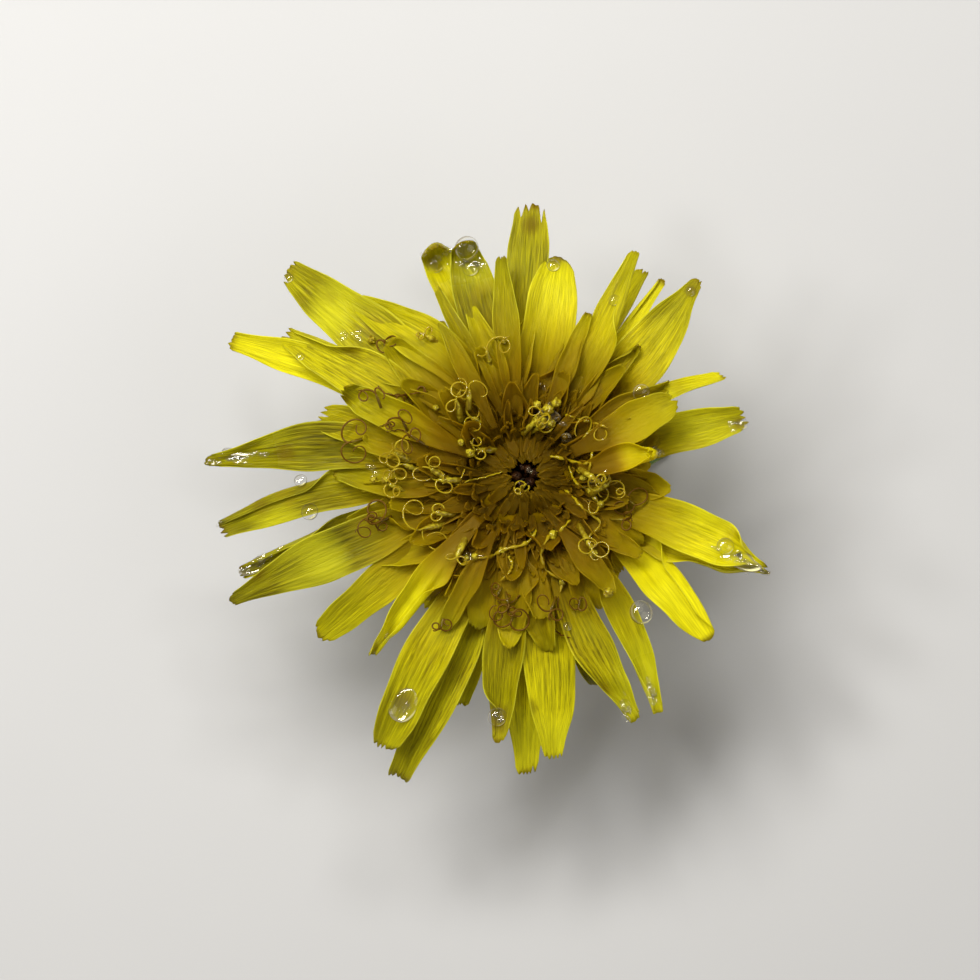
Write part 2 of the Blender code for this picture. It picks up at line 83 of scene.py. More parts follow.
# Angles in degrees and lengths in millimetres; cup is how hollow a ligule is, tip how wide its
# end is, as a share of its width
OUTER_LIGULES = tuple(Ligule(*row) for row in (
    (88, 14.5, 2.3, 3, 0.1, 0.1, 0.8, 0.6, 8, 0.25, 0.95),
    (80.5, 12.1, 2.8, 2, -0.05, 0.8, 0.8, 0.2, -8, 0.3, 0.75),
    (63.8, 13.4, 2.1, -4, -0.35, 0.7, 0.9, -0.4, 25, 0.4, 0.5),
    (59.2, 12.8, 1.8, 3, 0.1, 0, 0.6, 0.2, 20, 0.3, 0.65),
    (55, 12.8, 1.3, 0, 0, 0.5, 0.7, 0.4, 15, 0.2, 0.6),
    (49, 13.9, 2.9, -2, -0.4, 0.3, 0.9, -0.6, -6, 0.3, 0.4),
    (26.7, 11.9, 1.3, 12, 0.45, 0.4, 0.8, -0.6, 50, 0.2, 0.85),
    (15.8, 12.2, 2.3, 5, 0.1, 0, 0.6, -0.8, -10, 0.25, 0.8),
    (10, 7.6, 1.9, 0, 0.15, 2.2, 0.8, -0.6, 20, 0.6, 0.8),
    (-20, 13.6, 2.6, 3, 0.5, 0.8, 0.9, -0.6, 8, 0.3, 0.15),
    (-20.7, 13.8, 2.7, -2, 0.05, 0.2, 0.8, -0.4, -6, 0.3, 0.12),
    (-41.3, 12.9, 2.8, 18, 0.8, 0.2, 0.9, -0.6, 6, 0.35, 0.8),
    (-60.3, 14.1, 1.8, 18, 0.6, 0.6, 0.9, 0.4, 20, 0.4, 0.85),
    (-64.4, 13.9, 2.3, 2, -0.5, 0.9, 0.8, 0.8, 10, 0.35, 0.65),
    (-70, 12.1, 1.6, 4, 0, 0.1, 0.6, 1.4, -20, 0.3, 0.6),
    (-84.2, 14.8, 2.8, 4, 0.4, 0.6, 0.8, 1.4, 8, 0.3, 0.55),
    (-88.9, 15.5, 2.5, 0, 0, 0.1, 0.7, 1.8, 5, 0.25, 0.6),
    (-95.1, 13.8, 2.3, 0, -0.15, 0.9, 0.8, 1.4, -10, 0.35, 0.65),
    (-105.1, 12.4, 1.5, 2, 0, 0.1, 0.6, 1.6, -10, 0.2, 0.7),
    (-112.5, 17.3, 2.4, 3, 0.2, 0.1, 0.8, 2.4, -8, 0.3, 0.7),
    (-117.3, 16.2, 2.6, 4, -0.35, 0.9, 0.9, 2, 6, 0.35, 0.8),
    (-130.2, 12.4, 2, -8, -0.2, 2, 0.6, 1.4, 40, 0.3, 0.4),
    (-142, 13.6, 2.1, 0, -0.3, 0.8, 0.8, 1.6, 4, 0.25, 0.85),
    (-157.3, 16.9, 2.8, -4, -0.2, 0.9, 0.9, 2, 4, 0.35, 0.3),
    (-161.6, 15.7, 1.8, 0, -0.4, 0.1, 0.6, 2, 10, 0.2, 0.7),
    (-170.1, 16.4, 2.35, -8, -1, 0.5, 0.9, 1.8, -8, 0.3, 0.7),
    (177.6, 16.7, 2.6, -8, -1.15, 0.9, 0.9, 1.8, 8, 0.3, 0.4),
    (162.8, 11.2, 2.2, -2, 0, 1.6, 0.8, 1, -6, 0.3, 0.85),
    (152.4, 10.9, 1.9, 0, 0.1, 1.9, 0.7, 0.2, 15, 0.35, 0.8),
    (154.9, 17.1, 2.1, -6, -0.9, 0.2, 0.7, 1.8, 10, 0.25, 0.7),
    (148.6, 14.8, 2.7, -3, -0.3, 0.9, 0.8, 1.6, -4, 0.3, 0.7),
    (138.5, 16.8, 3.1, -2, -0.4, 0.4, 0.9, 1.8, 6, 0.35, 0.65),
    (111.8, 14.3, 2.4, -14, -0.4, 0.2, 0.7, 1.4, 15, 0.3, 0.8),
    (104.1, 13.6, 2.5, 0, 0, 0.7, 0.8, 1, -8, 0.3, 0.7),
    (113.8, 11, 1, -10, 0, 1.5, 0.6, 0.8, 20, 0.2, 0.7),
    (95.1, 11.7, 1.6, 0, 0.1, 1.4, 0.7, 0.4, 10, 0.35, 0.6),
    (68.7, 9.4, 1.15, 0, 0, 1.6, 0.6, 0.2, -15, 0.25, 0.7),
    (26.9, 9.2, 2.1, 2, 0, 1.95, 0.7, 0, 8, 0.3, 0.85),
    (-118, 8.95, 1.25, 0, 0, 2, 0.6, 0.4, 10, 0.25, 0.8),
    (-51.5, 7.8, 1.5, 0, 0, 2, 0.6, 0, 15, 0.4, 0.6),
    (117.5, 9.3, 1.1, 0, 0, 1.9, 0.6, 0.2, -10, 0.25, 0.6),
    (134, 13, 2.5, -34, -0.7, 1.1, 0.8, 1.2, 5, 0.3, 0.6),
))
# What the tips of some ligules do, by their place in the list above: curl is the turn of the
# last stretch in degrees, up when positive; roll is how far the edges close in, in degrees
CURLS = {
    1: -35, 3: -15, 5: 15, 8: 160, 12: 25, 13: 30, 14: -50, 17: 45, 21: -25, 26: 20, 28: 105, 32: 150,
    33: 120, 35: 30, 36: 40, 37: 60, 39: 80,
}
ROLLS = {
    2: 40, 5: 20, 7: 20, 8: 115, 9: 20, 10: 30, 11: 20, 12: 75, 13: 60, 17: 20, 19: 20, 21: 30, 24: 20,
    26: 40, 29: 20, 32: 20, 34: 30,
}
# Edges that are folded over: side (1 is clockwise), degrees, and the share of the length it starts at
FOLDS = {
    2: (1, 120, 0.5), 3: (1, 100, 0.3), 4: (-1, 120, 0.5), 9: (-1, 110, 0.72), 10: (1, 70, 0.45),
    11: (-1, 150, 0.4), 17: (1, 150, 0.7), 21: (-1, 140, 0.35), 24: (1, 90, 0.5), 25: (1, 150, 0.45),
    30: (1, 100, 0.6),
}
# How strongly the grooves of some ligules show as dark lines
STRIPES = {
    0: 0.5, 1: 0, 7: 0.6, 11: -0.45, 13: 1.2, 14: 1, 15: 0.6, 16: 0.7, 17: 0.6, 19: 1, 20: 0.5, 25: 0.8,
    26: 0.5, 30: 0.7, 31: 0.4,
}
# Painted light and shade: how much brighter or darker some ligules are painted, as the light falls on them
# or they lie in the shade of others, and how wet their tips are
PAINTED_LIGHT_LEVELS = {
    0: 0.95, 1: 1.1, 3: 1.9, 4: 1.9, 6: 1.5, 7: 1.25, 8: 1.7, 9: 1.25, 10: 1.2, 11: 2, 12: 1.2,
    13: 0.85, 14: 0.9, 15: 1.1, 16: 1.15, 19: 0.85, 20: 0.9, 21: 1.8, 22: 0.9, 23: 0.85, 24: 0.75,
    25: 0.75, 26: 0.85, 27: 0.9, 28: 1.3, 29: 1.3, 31: 0.95, 32: 0.85, 33: 0.85, 37: 1.3,
}
WETS = {
    2: 0.3, 8: 0.8, 9: 0.7, 10: 0.9, 12: 1, 13: 0.8, 21: 0.7, 26: 1, 24: 0.6, 25: 0.4, 27: 0.5, 28: 0.6,
    32: 1, 33: 1.0,
}
# How much deeper than most the notches between the teeth of some ligules are
DEEP_TEETH = {
    0: 2.2, 1: 0.4, 2: 0.5, 4: 1.4, 6: 1.5, 7: 1.6, 8: 0.3, 9: 0.2, 10: 0.2, 11: 0.2, 13: 1.2, 16: 1.2,
    17: 0.5, 22: 0.5, 23: 0.9, 25: 1.2, 26: 1.3, 27: 1.8, 28: 1.8, 32: 1.3, 34: 1.6, 37: 1.6,
}
# Dark marks, partly brown stains and partly painted shadow: pixel of the photograph and half width in
# millimetres, by ligule
STAINS_AND_PAINTED_SHADOWS = {
    0: ((531, 224, 0.5),), 1: ((556, 260, 0.35),), 5: ((692, 290, 0.35),), 7: ((739, 423, 0.35),),
    9: ((752, 541, 0.25), (760, 553, 0.3), (768, 566, 0.35)), 10: ((745, 558, 0.7), (768, 574, 0.3)),
    15: ((528, 708, 0.5),), 17: ((499, 716, 0.6), (500, 726, 0.5)),
    13: ((600, 690, 0.5), (620, 718, 0.4)), 19: ((420, 690, 0.6), (430, 660, 0.6)),
    28: ((345, 400, 0.4),), 20: ((404, 700, 0.6),), 23: ((256, 572, 0.5),), 25: ((262, 508, 0.5),),
    26: ((285, 452, 0.5),), 30: ((352, 346, 0.6),), 31: ((332, 297, 0.3), (374, 328, 0.5)),
    32: ((430, 258, 0.4), (438, 268, 0.3)),
}
# The colour of a petal from the middle of the head outwards, by its reach: the deep brown and amber
# towards the middle are partly the florets' own deeper colour and partly painted shade of the deep middle
PETAL_STOPS = (
    (0.06, (0.17, 0.095, 0.0004)), (0.14, (0.135, 0.068, 0.0003)), (0.22, (0.22, 0.115, 0.0004)),
    (0.32, (0.33, 0.2, 0.0006)), (0.42, (0.44, 0.32, 0.0008)), (0.54, (0.47, 0.39, 0.0012)),
    (0.72, (0.53, 0.48, 0.002)), (1.0, (0.57, 0.52, 0.004)),
)
INNER_LIGULES = 24
INNER_REACH = (8.4, 4.4)
INNER_ROOT = (2.9, 1.9)
INNER_HEIGHT = (10.7, 10.9)
INNER_RISE = (1.6, 2.6)
# The ligules between the others, from the outermost to the innermost
FILL_LIGULES = 140
FILL_REACH = (8.6, 4.4)
# Where they are shorter, as the gaps between the long ones show: azimuth and reach
FILL_GAPS = ((5, 6.8), (-27, 7.2), (-41, 7.2), (37, 7.8), (68, 7.8))
FILL_ROOT = (3.3, 1.7)
FILL_LEVEL = (0.35, 1.0)
FILL_RISE = (-0.1, 1.5)
FILL_WIDTH = (2.0, 0.8)
FILL_LONGEST = 9.2
# Short ligules that lie on top of the long ones: azimuth and reach
UPPER_LIGULES = (
    (-78, 9.2), (-96, 8.9), (-148, 8.7), (-167, 9.4), (177, 9.8), (131, 10.2), (106, 9.6), (62, 8.6),
    (50, 9.4), (31, 9.4), (-8, 7.4), (-34, 7.2), (-62, 7.8), (84, 8.8), (145, 9), (-128, 8),
    (-106, 8.2), (160, 8.8), (-176, 8.4), (70, 7.6), (118, 8.2), (-48, 6.9), (-88, 7.6),
)
UPPER_ROOT = 3.1
TEETH = 5
# How deep the notches between teeth are, as shares of the tip's width
NOTCHES = (0.02, 0.05, 0.08, 0.13, 0.2)
RIBS = (6.0, 12.0)
RIB_HEIGHT = 0.009
HALF_THICK = 0.045

# Heart, socket and buds
HEART_SIDES = 132
HEART_PROFILE = (
    (2.2, 5.6), (3.1, 6.15), (3.5, 7.4), (3.9, 9.25), (4.6, 10), (4.7, 10.4), (4.2, 11), (2.9, 11.35),
    (1.9, 11.25), (1.5, 11.1), (1.3, 10.9), (1.3, 9.7), (0.1, 9.6),
)
MIDDLE_BUDS = 12
BUD_GRID = (12, 16)
BUD_FLOOR = 9.95
BUD_TOP = 11.7
# The dark bodies of the middle: pixel of the photograph and radius in millimetres
DARK_BUDS = (
    (516, 476, 0.3), (528, 469, 0.26), (536, 473, 0.3), (530, 482, 0.3), (522, 467, 0.2),
    (520, 484, 0.22),
)

# Young florets: pixel of the photograph in the middle of the hole that they leave, then how many
# there are in each group, with foot radius, tip radius and tip height of its first and last
HOLE = (525, 474)
# The last value of a group scales how bright its florets are painted
Young = namedtuple("Young", "count foot base tip height width shine")
YOUNG_FLORETS = (
    Young(44, (2.1, 2.9), 10.9, (0.64, 0.92), (12.0, 11.7), (0.38, 0.62), 1.3),
    Young(80, (2.3, 2.9), 10.8, (2.4, 4.0), (12.2, 12.3), (0.3, 0.55), 0.95),
    Young(80, (2.7, 3.2), 10.6, (3.9, 5.6), (12.1, 12.3), (0.4, 0.65), 1.0),
)

# Stalk and bracts
STALK_SIDES = 136
STALK_BORE = 1.15
STALK_PROFILE = (
    (1.8, 0.0), (1.9, 0.1), (1.88, 1.2), (1.86, 2.4), (1.9, 3.1), (2.05, 3.5), (2.15, 3.75),
    (STALK_BORE, 3.75), (STALK_BORE, 3.4), (STALK_BORE, 0.1), (STALK_BORE + 0.1, 0.0),
)
CUP_SIDES = 84
CUP_PROFILE = (
    (2.3, 3.7), (3.4, 4.3), (4.1, 5.6), (4.5, 7.4), (4.9, 9.2), (4.6, 9.3), (4.3, 9.2), (3.9, 7.4),
    (3.5, 5.9), (2.6, 5.2),
)
INNER_BRACTS = 14
INNER_BRACT_WIDTH = 2.2
BRACT_OVERLAP = 0.27
INNER_BRACT_PATH = ((2.9, 4.2), (4.0, 5.4), (4.5, 7.3), (4.9, 8.9), (5.5, 9.9))
OUTER_BRACTS = 13
OUTER_BRACT_WIDTH = 2.1
OUTER_BRACT_PATH = ((3.0, 4.7), (4.7, 4.9), (5.8, 3.9), (6.3, 2.4), (6.8, 0.9))
FOOT_PATH = ((7.3, 0.25), (8.1, 0.12))

# Styles: the pixel of the photograph where each pair of curls shows, how golden it is, the
# radius of its loops in millimetres and how far they lean up
CURL_PLACES = (
    (384, 338, 0, 0.3, 30), (422, 335, 1, 0.28, 10), (485, 345, 0.9, 0.4, 5), (470, 382, 0.9, 0.55, 10),
    (455, 395, 0.9, 0.36, 5), (465, 415, 0.9, 0.45, 20), (403, 392, 0.2, 0.35, 15),
    (375, 390, 0.1, 0.3, 60), (400, 415, 0, 0.35, 75), (405, 432, 0, 0.45, 65),
    (342, 445, 0.3, 0.5, 10), (390, 450, 0.8, 0.48, 0), (397, 462, 0.8, 0.42, 5),
    (425, 465, 0.9, 0.45, 20), (432, 480, 0.9, 0.4, 30), (385, 482, 1, 0.28, 0),
    (470, 450, 1, 0.32, 20), (365, 515, 0, 0.5, 10), (372, 525, 0, 0.3, 15), (415, 530, 0.9, 0.55, 10),
    (430, 512, 0.8, 0.32, 5), (440, 632, 0.1, 0.3, 35), (495, 600, 0.2, 0.3, 60),
    (510, 610, 0.1, 0.3, 50), (508, 630, 0.1, 0.5, 20), (548, 615, 0.1, 0.38, 10),
    (577, 612, 0.2, 0.3, 40), (545, 412, 1, 0.35, 30), (553, 420, 1, 0.3, 60), (592, 425, 0.9, 0.5, 50),
    (600, 483, 0.9, 0.35, 20), (612, 480, 0.9, 0.3, 45), (595, 555, 0.8, 0.45, 30),
    (640, 510, 0.3, 0.5, 5), (630, 520, 0.3, 0.35, 60), (528, 482, 0.6, 0.22, 0),
    (600, 505, 0.8, 0.3, 25), (455, 560, 1, 0.25, 45),
)
# Styles that lie as long loose threads: how golden, radius, beads along it, and their pixels
LOOSE_STYLES = (
    (0.9, 0.1, 6, ((550, 456), (568, 460), (586, 464), (592, 452))),
    (0.9, 0.09, 0, ((592, 450), (590, 463), (587, 477), (576, 470))),
    (1, 0.1, 0, ((569, 466), (573, 478), (580, 486), (594, 488), (607, 486), (620, 480))),
    (0.8, 0.08, 5, ((565, 490), (574, 498), (582, 508), (600, 523), (588, 538), (590, 552), (608, 558))),
    (0.9, 0.1, 7, ((570, 520), (560, 530), (550, 535), (541, 552), (546, 570), (561, 579), (560, 592))),
    (1, 0.12, 9, ((536, 530), (530, 540), (521, 545), (502, 550), (490, 556), (476, 558), (460, 566))),
    (0.8, 0.06, 0, ((502, 472), (486, 477), (471, 480), (456, 485), (462, 476), (465, 469))),
    (0.2, 0.06, 0, ((558, 596), (557, 610), (554, 627), (560, 634), (570, 637))),
    (0.9, 0.09, 4, ((565, 415), (574, 418), (583, 421), (596, 424), (607, 428))),
    (0.1, 0.05, 0, ((380, 427), (392, 424), (388, 432), (402, 430), (410, 437), (408, 443))),
    (0.1, 0.06, 0, ((428, 392), (412, 394), (398, 396), (385, 393), (378, 386))),
    (0.7, 0.09, 5, ((508, 556), (512, 564), (509, 572), (500, 580))),
    (0.2, 0.05, 0, ((495, 598), (503, 604), (513, 601), (520, 594))),
)
# Fine dew: pixel of the photograph, half length and half width in millimetres, turn, beads
DEW_SPRAYS = (
    (240, 457, 1.6, 0.35, 8, 26), (214, 464, 0.5, 0.3, 30, 8), (254, 566, 1.1, 0.3, 25, 16),
    (226, 510, 0.8, 0.4, 40, 9), (438, 258, 0.7, 0.7, 0, 12), (470, 262, 0.7, 0.6, 0, 12),
    (734, 558, 1.2, 0.4, -25, 16), (762, 570, 0.4, 0.2, -30, 6), (652, 690, 0.8, 0.25, -80, 12),
    (624, 704, 0.5, 0.3, -60, 8), (385, 640, 0.9, 0.3, 55, 8), (496, 716, 0.5, 0.4, 0, 7),
    (660, 452, 0.5, 0.3, 0, 7), (735, 424, 0.3, 0.3, 0, 6), (545, 412, 0.7, 0.6, 0, 5),
    (404, 705, 0.7, 0.7, 60, 6), (355, 335, 0.9, 0.5, 0, 8), (600, 480, 0.9, 0.6, 0, 6),
    (470, 555, 0.9, 0.3, 15, 8), (372, 470, 0.9, 0.7, 0, 4), (526, 478, 0.4, 0.4, 0, 5),
)
# Beads: pixel of the photograph and width; films have length, turn, height, sink and roughness too
DEW_BEADS = (
    (466, 248, 1.3), (640, 612, 1.3), (301, 481, 0.7), (310, 512, 0.9), (614, 301, 0.6),
    (435, 264, 0.9), (471, 268, 0.9), (553, 266, 0.7), (690, 292, 0.5), (742, 424, 0.6),
    (640, 392, 0.9), (724, 546, 0.9), (288, 277, 0.5), (566, 437, 0.6), (567, 626, 0.45),
    (497, 717, 1.0), (651, 690, 0.7), (625, 706, 0.7), (545, 388, 0.4), (300, 357, 0.45),
)
DEW_FILMS = (
    (404, 705, 1.5, 2.0, 60, 0.36, 0.05, 0.03), (256, 566, 0.8, 1.9, 25, 0.4, 0.1, 0.2),
    (240, 456, 0.7, 2.4, -6, 0.4, 0.1, 0.2), (738, 560, 1.0, 2.4, -20, 0.35, 0.1, 0.15),
    (548, 418, 0.9, 1.2, 10, 0.7, 0.1, 0.2),
)
BIG_DROP = 0.4
# Rings and sides of big and small drops
BIG_DROP_GRID = (14, 32)
SMALL_DROP_GRID = (6, 14)
# Where the light comes from, for the painted bright crescents of the beads
LIGHT_AZIMUTH = 121.0
# Bubbly knots of unopened anthers: pixel of the photograph, radius, how golden
BUBBLES = (
    (540, 422, 0.42, 1), (548, 410, 0.32, 1), (537, 405, 0.24, 1), (556, 403, 0.28, 1),
    (551, 424, 0.26, 0.9), (470, 453, 0.26, 1), (461, 443, 0.22, 1), (553, 535, 0.28, 1),
    (562, 582, 0.22, 1), (593, 553, 0.25, 1), (466, 558, 0.24, 1), (475, 556, 0.2, 1),
    (502, 550, 0.2, 1), (533, 532, 0.2, 0.9), (600, 504, 0.2, 0.9), (583, 478, 0.22, 1),
    (372, 340, 0.24, 0.8), (374, 480, 0.22, 1), (386, 480, 0.24, 1), (607, 592, 0.3, 0.9),
    (565, 437, 0.2, 0), (540, 385, 0.16, 0), (498, 585, 0.16, 0.9), (436, 408, 0.18, 0.8),
    (504, 342, 0.18, 0.8),
)
# Heights of styles and knots where nothing lies below them
HEAD_HEIGHT = 11.0
LOOSE_HEIGHT = 11.2
LOOSE_SHARE = 0.7
THREAD = 0.045
THREAD_SIDES = 8
ROD_RADIUS = 0.16
ROD_RINGS = 18
ROD_SIDES = 10
# Rings and sides of a knot of anthers, and the bumps on it
LUMP_GRID = (18, 28)
LUMP_BUMPS = 26


def photo_place(x, y):
    """The place about the head's axis that shows at a pixel of the photograph."""
    return np.array([(x - PHOTO_AXIS[0]) * PIXEL, (PHOTO_AXIS[1] - y) * PIXEL, 0.0])


def direction(azimuth):
    angle = math.radians(azimuth)
    return np.array([math.cos(angle), math.sin(angle), 0.0])


def unit(vectors):
    return vectors / np.maximum(np.linalg.norm(vectors, axis=-1, keepdims=True), 1e-9)


def smooth_step(start, end, value):
    share = np.clip((value - start) / (end - start), 0.0, 1.0)
    return share * share * (3.0 - 2.0 * share)


def spread(ends, share):
    return ends[0] + (ends[1] - ends[0]) * share


def turns(sides):
    """Angles of even steps once round a circle."""
    return np.arange(sides) * 2.0 * math.pi / sides


class Socket:
    """One output of a node; arithmetic on it adds Math nodes."""

    def __init__(self, graph, output):
        self.graph = graph
        self.output = output

    def __add__(self, other):
        return self.graph.maths("ADD", self, other)

    def __sub__(self, other):
        return self.graph.maths("SUBTRACT", self, other)

    def __rsub__(self, other):
        return self.graph.maths("SUBTRACT", other, self)

    def __mul__(self, other):
        return self.graph.maths("MULTIPLY", self, other)

    def __pow__(self, other):
        return self.graph.maths("POWER", self, other)

    def __abs__(self):
        return self.graph.maths("ABSOLUTE", self)

    __radd__ = __add__
    __rmul__ = __mul__


class Graph:
    """The nodes of one material."""

    def __init__(self, name):
        self.material = bpy.data.materials.new(name)
        self.material.use_nodes = True
        self.tree = self.material.node_tree
        self.tree.nodes.clear()

    def add(self, kind, settings=None, sockets=None, out=0):
        node = self.tree.nodes.new("ShaderNode" + kind)
        for name, value in (settings or {}).items():
            if name == "stops":
                self.set_stops(node.color_ramp, value)
            else:
                setattr(node, name, value)
        for name, value in (sockets or {}).items():
            if isinstance(value, Socket):
                self.tree.links.new(value.output, node.inputs[name])
            else:
                node.inputs[name].default_value = value
        return Socket(self, node.outputs[out]) if node.outputs else node

    def maths(self, operation, *terms):
        return self.add("Math", {"operation": operation}, dict(enumerate(terms)))

    def vector_maths(self, operation, *terms):
        return self.add("VectorMath", {"operation": operation}, dict(enumerate(terms)))

    def set_stops(self, ramp, stops):
        while len(ramp.elements) < len(stops):
            ramp.elements.new(1.0)
        for element, (place, colour) in zip(ramp.elements, stops):
            element.position = place
            element.color = (*colour, 1.0)

    def mask(self, value, start, end):
        """0 below start and 1 above end, smoothly; the other way round where start is larger."""
        sockets = {"Value": value, "From Min": start, "From Max": end}
        return self.add("MapRange", {"interpolation_type": "SMOOTHSTEP"}, sockets, "Result")

    def fields(self, *names):
        return [self.add("Attribute", {"attribute_name": name}, None, "Fac") for name in names]

    def mix(self, share, first, second, blend="MIX"):
        first = first if isinstance(first, Socket) else (*first, 1.0)
        second = second if isinstance(second, Socket) else (*second, 1.0)
        settings = {"data_type": "RGBA", "blend_type": blend}
        return self.add("Mix", settings, {0: share, 6: first, 7: second}, 2)

    def paint(self, colour, *coats):
        """A colour with others laid over it in turn, each given as its share and its colour."""
        for share, coat in coats:
            colour = self.mix(share, colour, coat)
        return colour

    def place(self, stretch=(1.0, 1.0, 1.0)):
        """The point on the object, stretched along the axes."""
        point = self.add("TexCoord", None, None, "Object")
        return self.add("Mapping", None, {"Vector": point, "Scale": stretch})

    def noise(self, scale, detail=2.0, vector=None, roughness=0.5):
        sockets = {"Vector": vector or self.place(), "Scale": scale, "Detail": detail}
        return self.add("TexNoise", None, {**sockets, "Roughness": roughness})

    def rays(self, scale):
        """Noise that changes only with the direction from the middle of the head."""
        flat = self.vector_maths("MULTIPLY", self.place(), (1.0, 1.0, 0.0))
        return self.noise(scale, 3.0, self.vector_maths("NORMALIZE", flat), 0.6)

    def vector(self, x, y, z):
        return self.add("CombineXYZ", None, {"X": x, "Y": y, "Z": z})

    def veins(self, across, along, tint, scale, detail=3.0, roughness=0.5):
        """Noise stretched along a blade, which differs from one blade to the next."""
        fields = self.fields("across", "along", "tint")
        vector = self.vector(*(field * share for field, share in zip(fields, (across, along, tint))))
        return self.noise(scale, detail, vector, roughness)

    def bump(self, height, strength, distance):
        return self.add("Bump", None, {"Height": height, "Strength": strength, "Distance": distance})

    def principled(self, **sockets):
        named = {name.replace("_", " "): value for name, value in sockets.items()}
        return self.add("BsdfPrincipled", None, named)

    def glow(self, *colour):
        """Light that comes through from the other side."""
        return self.add("BsdfTranslucent", None, {"Color": (*colour, 1.0)})

    def blend(self, share, first, second):
        return self.add("MixShader", None, {0: share, 1: first, 2: second})

    def finish(self, surface):
        self.add("OutputMaterial", None, {"Surface": surface})
        return self.material


class Shape:
    """Points and faces of one piece, with named values at each point for its material."""

    def __init__(self, *fields):
        self.points = []
        self.faces = []
        self.fields = {field: [] for field in fields}
        self.count = 0

    def add(self, points, faces, **values):
        points = np.asarray(points, float).reshape(-1, 3)
        self.points.append(points)
        self.faces.extend(tuple(corner + self.count for corner in face) for face in faces)
        for field, stored in self.fields.items():
            value = np.asarray(values.get(field, 0.0), float).reshape(-1)
            stored.append(np.full(len(points), value[0]) if len(value) == 1 else value)
        self.count += len(points)

    def finish(self, name, material, slot, *nodes):
        points = np.concatenate(self.points) * MM + AXIS
        mesh = bpy.data.meshes.new(name)
        mesh.from_pydata(points.tolist(), [], self.faces)
        for field, stored in self.fields.items():
            attribute = mesh.attributes.new(field, "FLOAT", "POINT")
            attribute.data.foreach_set("value", np.concatenate(stored))
        mesh.materials.append(material)
        mesh.shade_smooth()
        piece = bpy.data.objects.new(name, mesh)
        bpy.context.scene.collection.objects.link(piece)
        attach(piece, "root")
        if nodes:
            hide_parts(*nodes)
        return piece


def add_shell(shape, grid, half_thick, **values):
    """A closed shell of even thickness about a grid of points, rows from root to tip."""
    rows, columns = grid.shape[:2]
    normal = unit(np.cross(np.gradient(grid, axis=1), np.gradient(grid, axis=0)))
    offset = normal * np.broadcast_to(half_thick, (rows, columns))[..., None]
    points = np.concatenate([(grid + offset).reshape(-1, 3), (grid - offset).reshape(-1, 3)])
    below = rows * columns
    faces = []
    for row in range(rows - 1):
        for column in range(columns - 1):
            near = row * columns + column
            far = near + columns
            faces.append((near, near + 1, far + 1, far))
            faces.append((near + below, far + below, far + 1 + below, near + 1 + below))
    ring = list(range(columns))
    ring += [row * columns + columns - 1 for row in range(1, rows)]
    ring += [(rows - 1) * columns + column for column in range(columns - 2, -1, -1)]
    ring += [row * columns for row in range(rows - 2, 0, -1)]
    for start, end in zip(ring, ring[1:] + ring[:1]):
        faces.append((end, start, start + below, end + below))
    doubled = {
        name: np.tile(np.broadcast_to(value, (rows, columns)).reshape(-1), 2)
        for name, value in values.items()
    }
    shape.add(points, faces, **doubled)


def add_rings(shape, rings, ends=(), falling=False, **values):
    """A closed body of rings of points, capped at two end points or, without them, joined round."""
    count, sides = len(rings), len(rings[0])
    first, last = count * sides, (count - 1) * sides
    faces = []
    for ring in range(count if not len(ends) else count - 1):
        near, far = ring * sides, (ring + 1) % count * sides
        for side in range(sides):
            after = (side + 1) % sides
            faces.append((near + side, near + after, far + after, far + side))
    for side in range(sides if len(ends) else 0):
        after = (side + 1) % sides
        faces.append((first, after, side))
        faces.append((first + 1, last + side, last + after))
    if falling:
        faces = [(face[0], *face[:0:-1]) for face in faces]
    for name, value in values.items():
        if np.size(value) == count:
            values[name] = np.concatenate([np.repeat(value, sides), value[:1], value[-1:]])
    points = [np.reshape(rings, (-1, 3)), *(np.reshape(end, (1, 3)) for end in ends)]
    shape.add(np.concatenate(points), faces, **values)


def add_tube(shape, path, radii, sides, **values):
    """A closed round tube along a path, with a radius at each point of it."""
    forward = unit(np.gradient(path, axis=0))
    across = unit(np.cross(forward[0], (0.3, 0.5, 0.8)))
    angles = turns(sides)[:, None]
    rings = []
    for place, ahead, radius in zip(path, forward, radii):
        across = unit(across - ahead * np.dot(across, ahead))
        upright = np.cross(ahead, across)
        rings.append(place + (np.cos(angles) * across + np.sin(angles) * upright) * radius)
    add_rings(shape, rings, (path[0], path[-1]), **values)


def add_turned(shape, profile, sides, ripple, loop=False):
    """A solid of revolution; ripple gives extra radius from the angle, radius and height."""
    angles = turns(sides)
    rings = []
    for radius, height in profile:
        reach = radius + ripple(angles, radius, height)
        spots = [np.cos(angles) * reach, np.sin(angles) * reach, np.full(sides, height)]
        rings.append(np.stack(spots, 1))
    add_rings(shape, rings, () if loop else (UP * profile[0][1], UP * profile[-1][1]))


def centre_line(leaf, root_radius, share):
    """The middle of a ligule at shares of its length, from the root at 0 to the tip at 1."""
    root = direction(leaf.azimuth + leaf.swing) * root_radius
    run = direction(leaf.azimuth) * leaf.reach - root
    left = unit(np.cross(UP, run))
    share = share[..., None]
    hump = 4.0 * share * (1.0 - share)
    height = ROOT_HEIGHT + leaf.level + leaf.arch * hump - leaf.drop * share**2
    return root + run * share + left * leaf.bow * hump + UP * height


